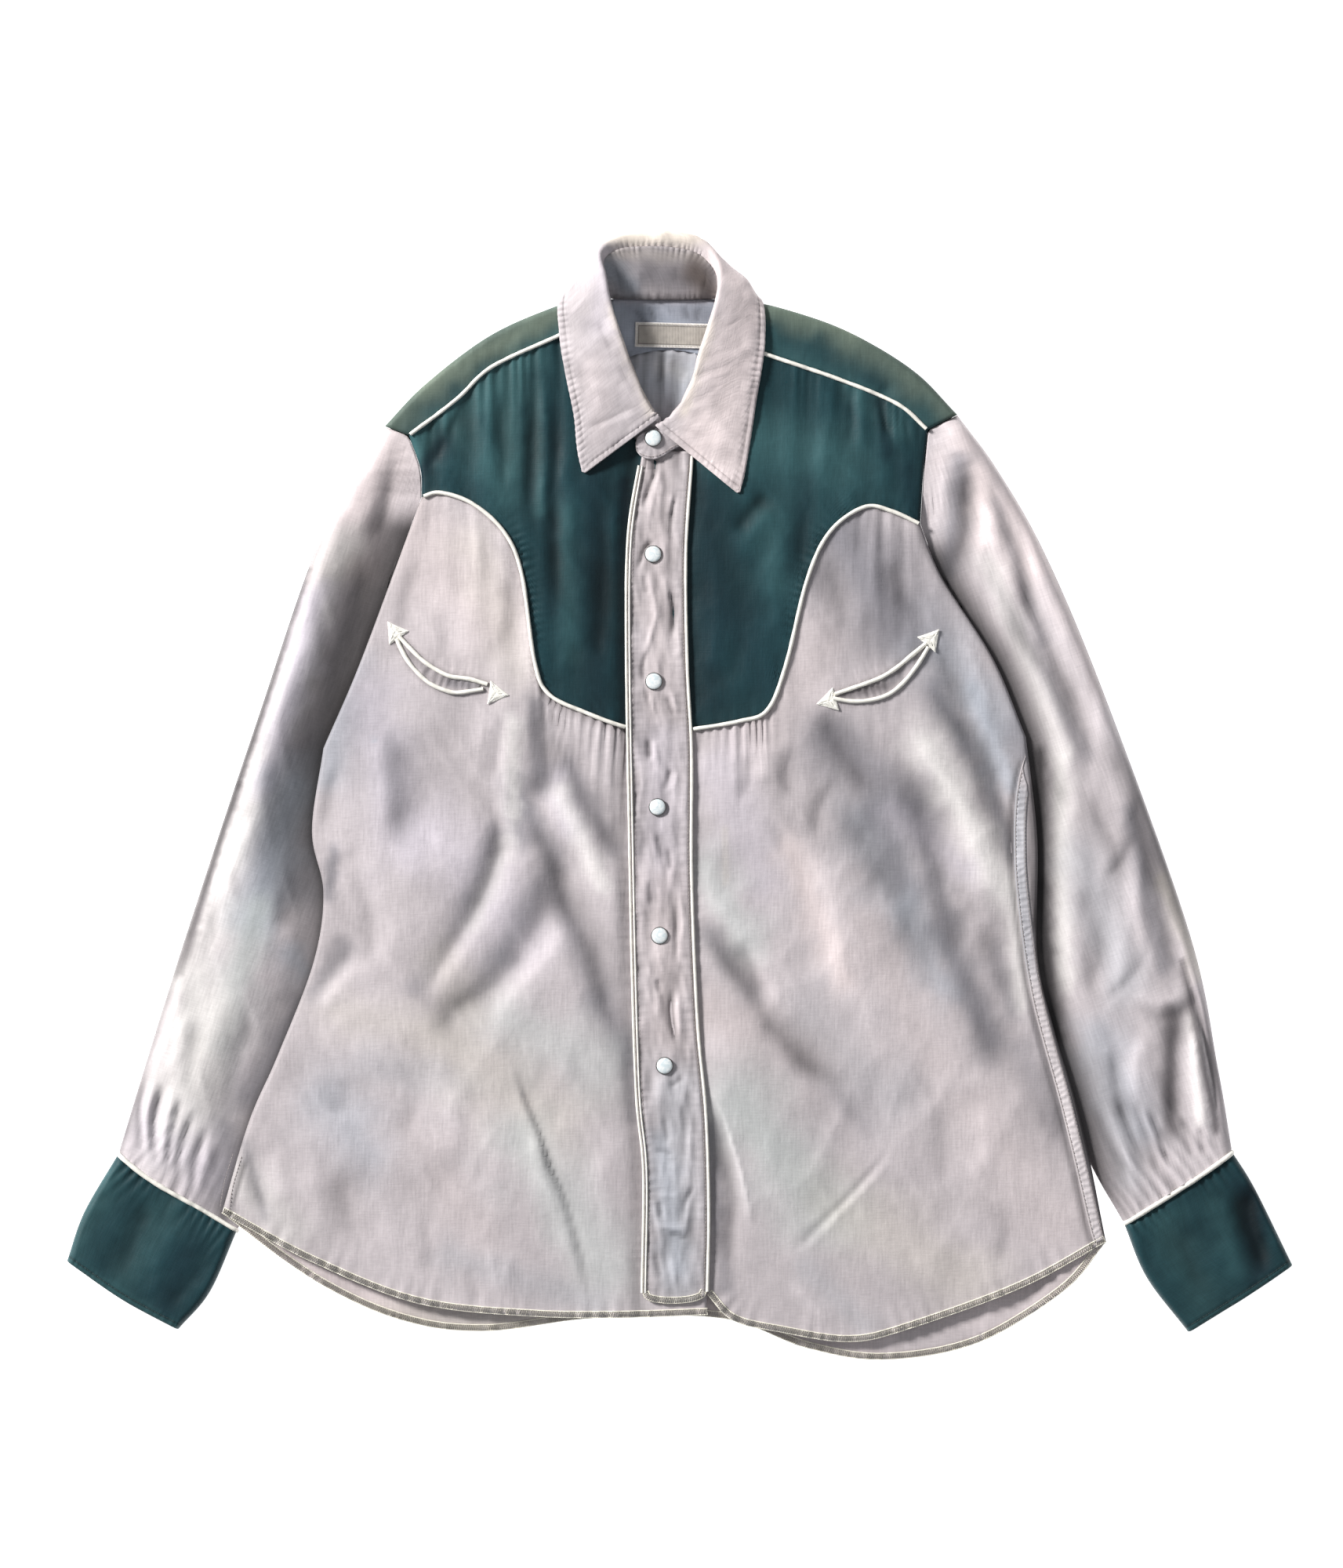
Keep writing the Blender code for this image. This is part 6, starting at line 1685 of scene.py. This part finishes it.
collar_gabardine = gabardine("collar_gabardine", 0.09, 0.12, 0.12)
stand_rows = smooth(STAND_SECTIONS, 560)
shares = np.linspace(0, 1, 21)[None, :, None]
stand_points = stand_rows[:, None, :3] * (1 - shares) + stand_rows[:, None, 3:] * shares
stand_points = stand_points.transpose(1, 0, 2)
sx, sy = stand_points[..., 0], stand_points[..., 1]
stand_relief = 0.3 * unevenness(sx, sy, 9, 111) + puckers(sx, sy, stand_rows[:, :2], 6, 5, 0.4, 112)
stand_relief += puckers(sx, sy, stand_rows[:, 3:5], 4.2, 4.5, 0.6, 113) + creased(sx, sy, STAND_CREASES)
stand_points[..., 2] += stand_relief + 0.5 * np.sin(math.pi * shares[..., 0].T)
# the stand is darkened towards the back of the neck, painted shade, with painted light and shade on its puckers
collar_stand = cloth(
    "collar_stand_cloth",
    stand_points,
    (1.05 - 0.4 * ease((sy - 300) / 30))[..., None] * worn_and_shaded(faded_and_shaded(sx, sy, "mauve", STAND_FADES_AND_SHADE), 2.6 * stand_relief),
    collar_gabardine,
    thick=1.0,
    grain=tube_grain(stand_points),
)
placed(collar_stand, "collar_cloth", "collar_stand")
seam_row = stand_points[18, 202:366] + (0, 0, 0.3)
stitches("stand_stitches", seam_row, mauve_thread, "collar_cloth", 2.2)
tab_row = np.vstack([stand_points[2, 489:556], stand_points[3:19, 555]]) + (0, 0, 0.25)
stitches("tab_stitches", tab_row, mauve_thread, "collar_cloth", 2.4)


# ---------------------------------------------------------------- collar leaf
# The leaf rises from the stand, rolls over and lies down round the neck to long points. It is two layers
# with a row of stitches a little inside its edges, which has drawn it into fine puckers.

COLLAR_SECTIONS = [
    # roll x, y, z,    outer edge x, y, z,   bulge outwards at the middle x, y
    (-14.5, 264, 17, -67.5, 225, 11.2, 0, 0),
    (-22.5, 276, 19, -71, 243, 11.2, 0, 0),
    (-31, 295, 21, -73.5, 268, 11.2, 0, 0),
    (-38.5, 314, 23.5, -80, 300, 11.2, 0, 0),
    (-44.5, 331, 24, -83.5, 325, 11.2, 0, 0),
    (-50, 350, 24, -84, 346, 9.5, -1, 1),
    (-53, 366, 22, -76, 352, 4, -5, 5),
    (-56, 382, 18, -56, 357, 1.2, -9, 0),
    (-43, 392, 14, -43, 356, 0.8, 0, 0),
    (-27, 394, 13, -27, 352, 0.8, 0, 0),
    (-9, 394.5, 13, -9, 351, 0.8, 0, 0), (7, 393, 13, 6, 351, 0.8, 0, 0),
    (19.5, 387, 14.5, 22, 354, 0.8, 2, 0), (28, 375, 18, 38, 355, 1.2, 6, 2),
    (29.5, 362, 21, 52, 351, 4, 4, 5), (27.5, 348, 24, 59, 343, 9.5, 1, 1),
    (21.5, 328, 24, 60, 318, 11.2, 0, 0), (14.5, 307, 23, 57.5, 298, 11.2, 0, 0),
    (9.5, 289, 21, 54, 278, 11.2, 0, 0), (1, 273, 19, 50, 250, 11.2, 0, 0),
    (-6.5, 264, 18, 46.5, 229, 11.2, 0, 0), (-15, 258, 17, 42.5, 211, 11.2, 0, 0),
]
COLLAR_ROWS = 470
COLLAR_COLUMNS = 44
COLLAR_STITCH = 4.4     # from the leaf's edges to its row of stitches
TIP_RADIUS = 3.0


def collar_line(row):
    """One line of the leaf across it, from its seam behind the stand over the roll to its edge."""
    roll, edge, bulge = row[:3], row[3:6], row[6:]
    near = np.argmin(np.linalg.norm(stand_rows[:, 3:] - roll, axis=1))
    top, foot = stand_rows[near, 3:], stand_rows[near, :3]
    inner = top + (foot - top) / np.linalg.norm(foot - top) * 2.5
    behind = ease((roll[1] - 360) / 14)
    inner = inner + (0, 0, -2.6)
    crest = (top + roll) / 2 + (0, 0, behind)
    lift = 1.0 - 3.5 * behind
    out_one = roll + (edge - roll) * 0.3 + (bulge[0] * 0.8, bulge[1] * 0.8, lift)
    out_two = roll + (edge - roll) * 0.65 + (bulge[0], bulge[1], lift - 0.2)
    return smooth([inner, crest, roll, out_one, out_two, edge], COLLAR_COLUMNS)


def blunted(grid, radius):
    """The leaf with its two sharp points rounded off."""
    for end in (0, -1):
        point, beside, above = grid[-1, end], grid[-1, 12 if end == 0 else -13], grid[-13, end]
        across = (beside - point) / np.linalg.norm(beside - point)
        upward = (above - point) / np.linalg.norm(above - point)
        u = np.clip(1 - np.linalg.norm(grid - grid[:, end][:, None], axis=2) / radius, 0, 1)
        v = np.clip(1 - np.linalg.norm(grid - grid[-1][None], axis=2) / radius, 0, 1)
        grid = grid + (u * (1 - np.sqrt(1 - v**2 / 2)) * radius)[..., None] * across * 1.4
        grid = grid + (v * (1 - np.sqrt(1 - u**2 / 2)) * radius)[..., None] * upward * 1.4
    return grid


def crossing(grid, gap, distance):
    """Where a leaf's line reaches a distance from the edge, for each line of it."""
    return np.stack([[np.interp(distance, g[::-1], p[::-1, k]) for k in range(3)] for g, p in zip(gap, grid)])


leaf_points = np.array([collar_line(row) for row in smooth(COLLAR_SECTIONS, COLLAR_ROWS)]).transpose(1, 0, 2)
leaf_points = blunted(leaf_points, TIP_RADIUS)
to_edge = np.linalg.norm(leaf_points - leaf_points[-1:], axis=2)
from_front = np.linalg.norm(leaf_points - leaf_points[:, :1], axis=2)
from_back = np.linalg.norm(leaf_points - leaf_points[:, -1:], axis=2)
to_end = np.minimum(from_front, from_back)
lx, ly = leaf_points[..., 0], leaf_points[..., 1]
along_leaf = np.cumsum(np.linalg.norm(np.diff(leaf_points[-6], axis=0, prepend=leaf_points[-6, :1]), axis=1))
wander = 1.2 * unevenness(lx, ly, 11, 121)
edge_ladder = np.cos(along_leaf[None] * 2 * math.pi / 4.4 + wander) * bell(to_edge - 3.6, 3.4)
end_ladder = np.cos(to_edge * 2 * math.pi / 4.4 + wander) * bell(to_end - 3.6, 3.4)
to_seam = np.linalg.norm(leaf_points - leaf_points[:1], axis=2)
roll_ladder = np.cos(along_leaf[None] * 2 * math.pi / 4.8 + 2 * wander) * bell(to_seam - 4, 3)
in_from_edge = np.minimum(to_edge, to_end)
groove = 0.5 * bell(in_from_edge - COLLAR_STITCH, 0.8)
broad = 0.5 * unevenness(lx, ly, 15, 122) + 0.35 * unevenness(lx, ly, 7, 123)
strength = 0.65 + 0.45 * unevenness(lx, ly, 13, 124)
leaf_relief = strength * (0.55 * edge_ladder + 0.8 * end_ladder) + 0.3 * roll_ladder * ease((ly - 376) / 6)
leaf_relief += creased(lx, ly, LEAF_CREASES) * np.where(lx > -8, 0.4, 0.8) + broad - groove
leaf_points[..., 2] += leaf_relief * ease((leaf_points[..., 2] - 6) / 3)
# painted light and shade on the leaf's puckers, and painted shade along its seam behind the stand and its stitch
# rows
leaf_tones = worn_and_shaded(faded_and_shaded(lx, ly, "mauve", COLLAR_FADES_AND_SHADE), 2.0 * leaf_relief)
leaf_tones = shaded_along(leaf_tones, (to_seam - 2.6) * (ly > 376) + 9 * (ly <= 376), 0.8, 0.55)
collar_leaf = cloth(
    "collar_leaf_cloth",
    leaf_points,
    shaded_along(leaf_tones, in_from_edge - COLLAR_STITCH, 0.6, 0.35),
    collar_gabardine,
    thick=1.2,
    grain=tube_grain(leaf_points),
)
placed(collar_leaf, "collar_cloth", "collar_leaf")
lines = leaf_points.transpose(1, 0, 2)
edge_row = crossing(lines, to_edge.T, COLLAR_STITCH) + (0, 0, 0.3)
first, last = int(np.argmax(from_front[-8] > COLLAR_STITCH)), int(np.argmax(from_back[-8] < COLLAR_STITCH))
for part, row in (("left", edge_row[first:200]), ("right", edge_row[300:last])):
    stitches("collar_stitches_" + part, row, mauve_thread, "collar_cloth", 2.4)
for part, start in (("left", first), ("right", last)):
    row = leaf_points[14:-4, start] + (0, 0, 0.3)
    stitches("collar_end_stitches_" + part, row, mauve_thread, "collar_cloth", 2.4)


# ---------------------------------------------------------------- snaps
# Pearl snaps: a domed pearl face set in a thin nickel rim. One sits on the stand's tab and five down
# the placket, and all stay fastened.

SNAPS = [(-18, 251), (-18, 170), (-17.5, 81), (-15, -7), (-13.5, -97), (-10, -188)]
PEARL_RADIUS = 5.65
TAB_SEAT, PLACKET_SEAT = 13.6, 10.35    # heights that the caps sit at


def pearl():
    """Glossy pearl with a pale blue swirl."""
    made, add, shade = material("pearl", Roughness=0.24, Coat_Weight=0.5, Coat_Roughness=0.12)
    place = add("TexCoord", {}).outputs["Object"]
    swirl = add("TexNoise", {"Scale": 260, "Distortion": 1.6, "Vector": place}).outputs["Fac"]
    shade(Base_Color=blended(add, swirl, (0.35, (0.66, 0.76, 0.80)), (0.65, (0.93, 0.95, 0.95))))
    return made


def nickel():
    """Dull worn nickel."""
    made, add, shade = material("worn_nickel", Base_Color=(0.16, 0.155, 0.15, 1), Metallic=1.0)
    wear = add("TexNoise", {"Scale": 700, "Vector": add("TexCoord", {}).outputs["Object"]}).outputs["Fac"]
    shade(Roughness=add("MapRange", {"To Min": 0.25, "To Max": 0.5, "Value": wear}).outputs[0])
    return made


def round_order(spot, x, y):
    """A number that puts the places of a cap in order: round its middle, then outwards, then up."""
    across, up = spot.x / MM - x, spot.y / MM - y
    return 1000 * math.atan2(up, across) + math.hypot(across, up) + 0.01 * spot.z / MM


snap_finishes = [pearl(), nickel()]
SNAP_PROFILE = [(0, 2.6), (2.2, 2.52), (4.0, 2.3), (5.1, 1.95), (5.5, 1.6), (5.55, 1.2), (5.7, 1.5), (5.95, 1.5),
                (6.12, 1.2), (6.12, 0.4), (5.6, 0.0), (0, 0)]
for number, (x, y) in enumerate(SNAPS, start=1):
    base = TAB_SEAT if number == 1 else PLACKET_SEAT
    bm = bmesh.new()
    verts = [bm.verts.new(Vector((x + r, y, base + z)) * MM) for r, z in SNAP_PROFILE]
    edges = [bm.edges.new(pair) for pair in zip(verts, verts[1:])]
    turned = {"cent": Vector((x, y, 0)) * MM, "axis": (0, 0, 1), "angle": 2 * math.pi, "steps": 48}
    bmesh.ops.spin(bm, geom=verts + edges, use_merge=True, **turned)
    bmesh.ops.remove_doubles(bm, verts=bm.verts[:], dist=1e-6)
    bmesh.ops.recalc_face_normals(bm, faces=bm.faces[:])
    bm.verts.sort(key=lambda vert: round_order(vert.co, x, y))
    bm.faces.sort(key=lambda face: round_order(face.calc_center_median(), x, y))
    for face in bm.faces:
        spot = face.calc_center_median() / MM
        on_face = math.hypot(spot.x - x, spot.y - y) < PEARL_RADIUS - 0.05 and spot.z > base + 1
        face.material_index = 0 if on_face else 1
    placed(object_of(bm, "snap_cap_%d" % number, *snap_finishes), "pearl_snap", "snap_%d" % number)
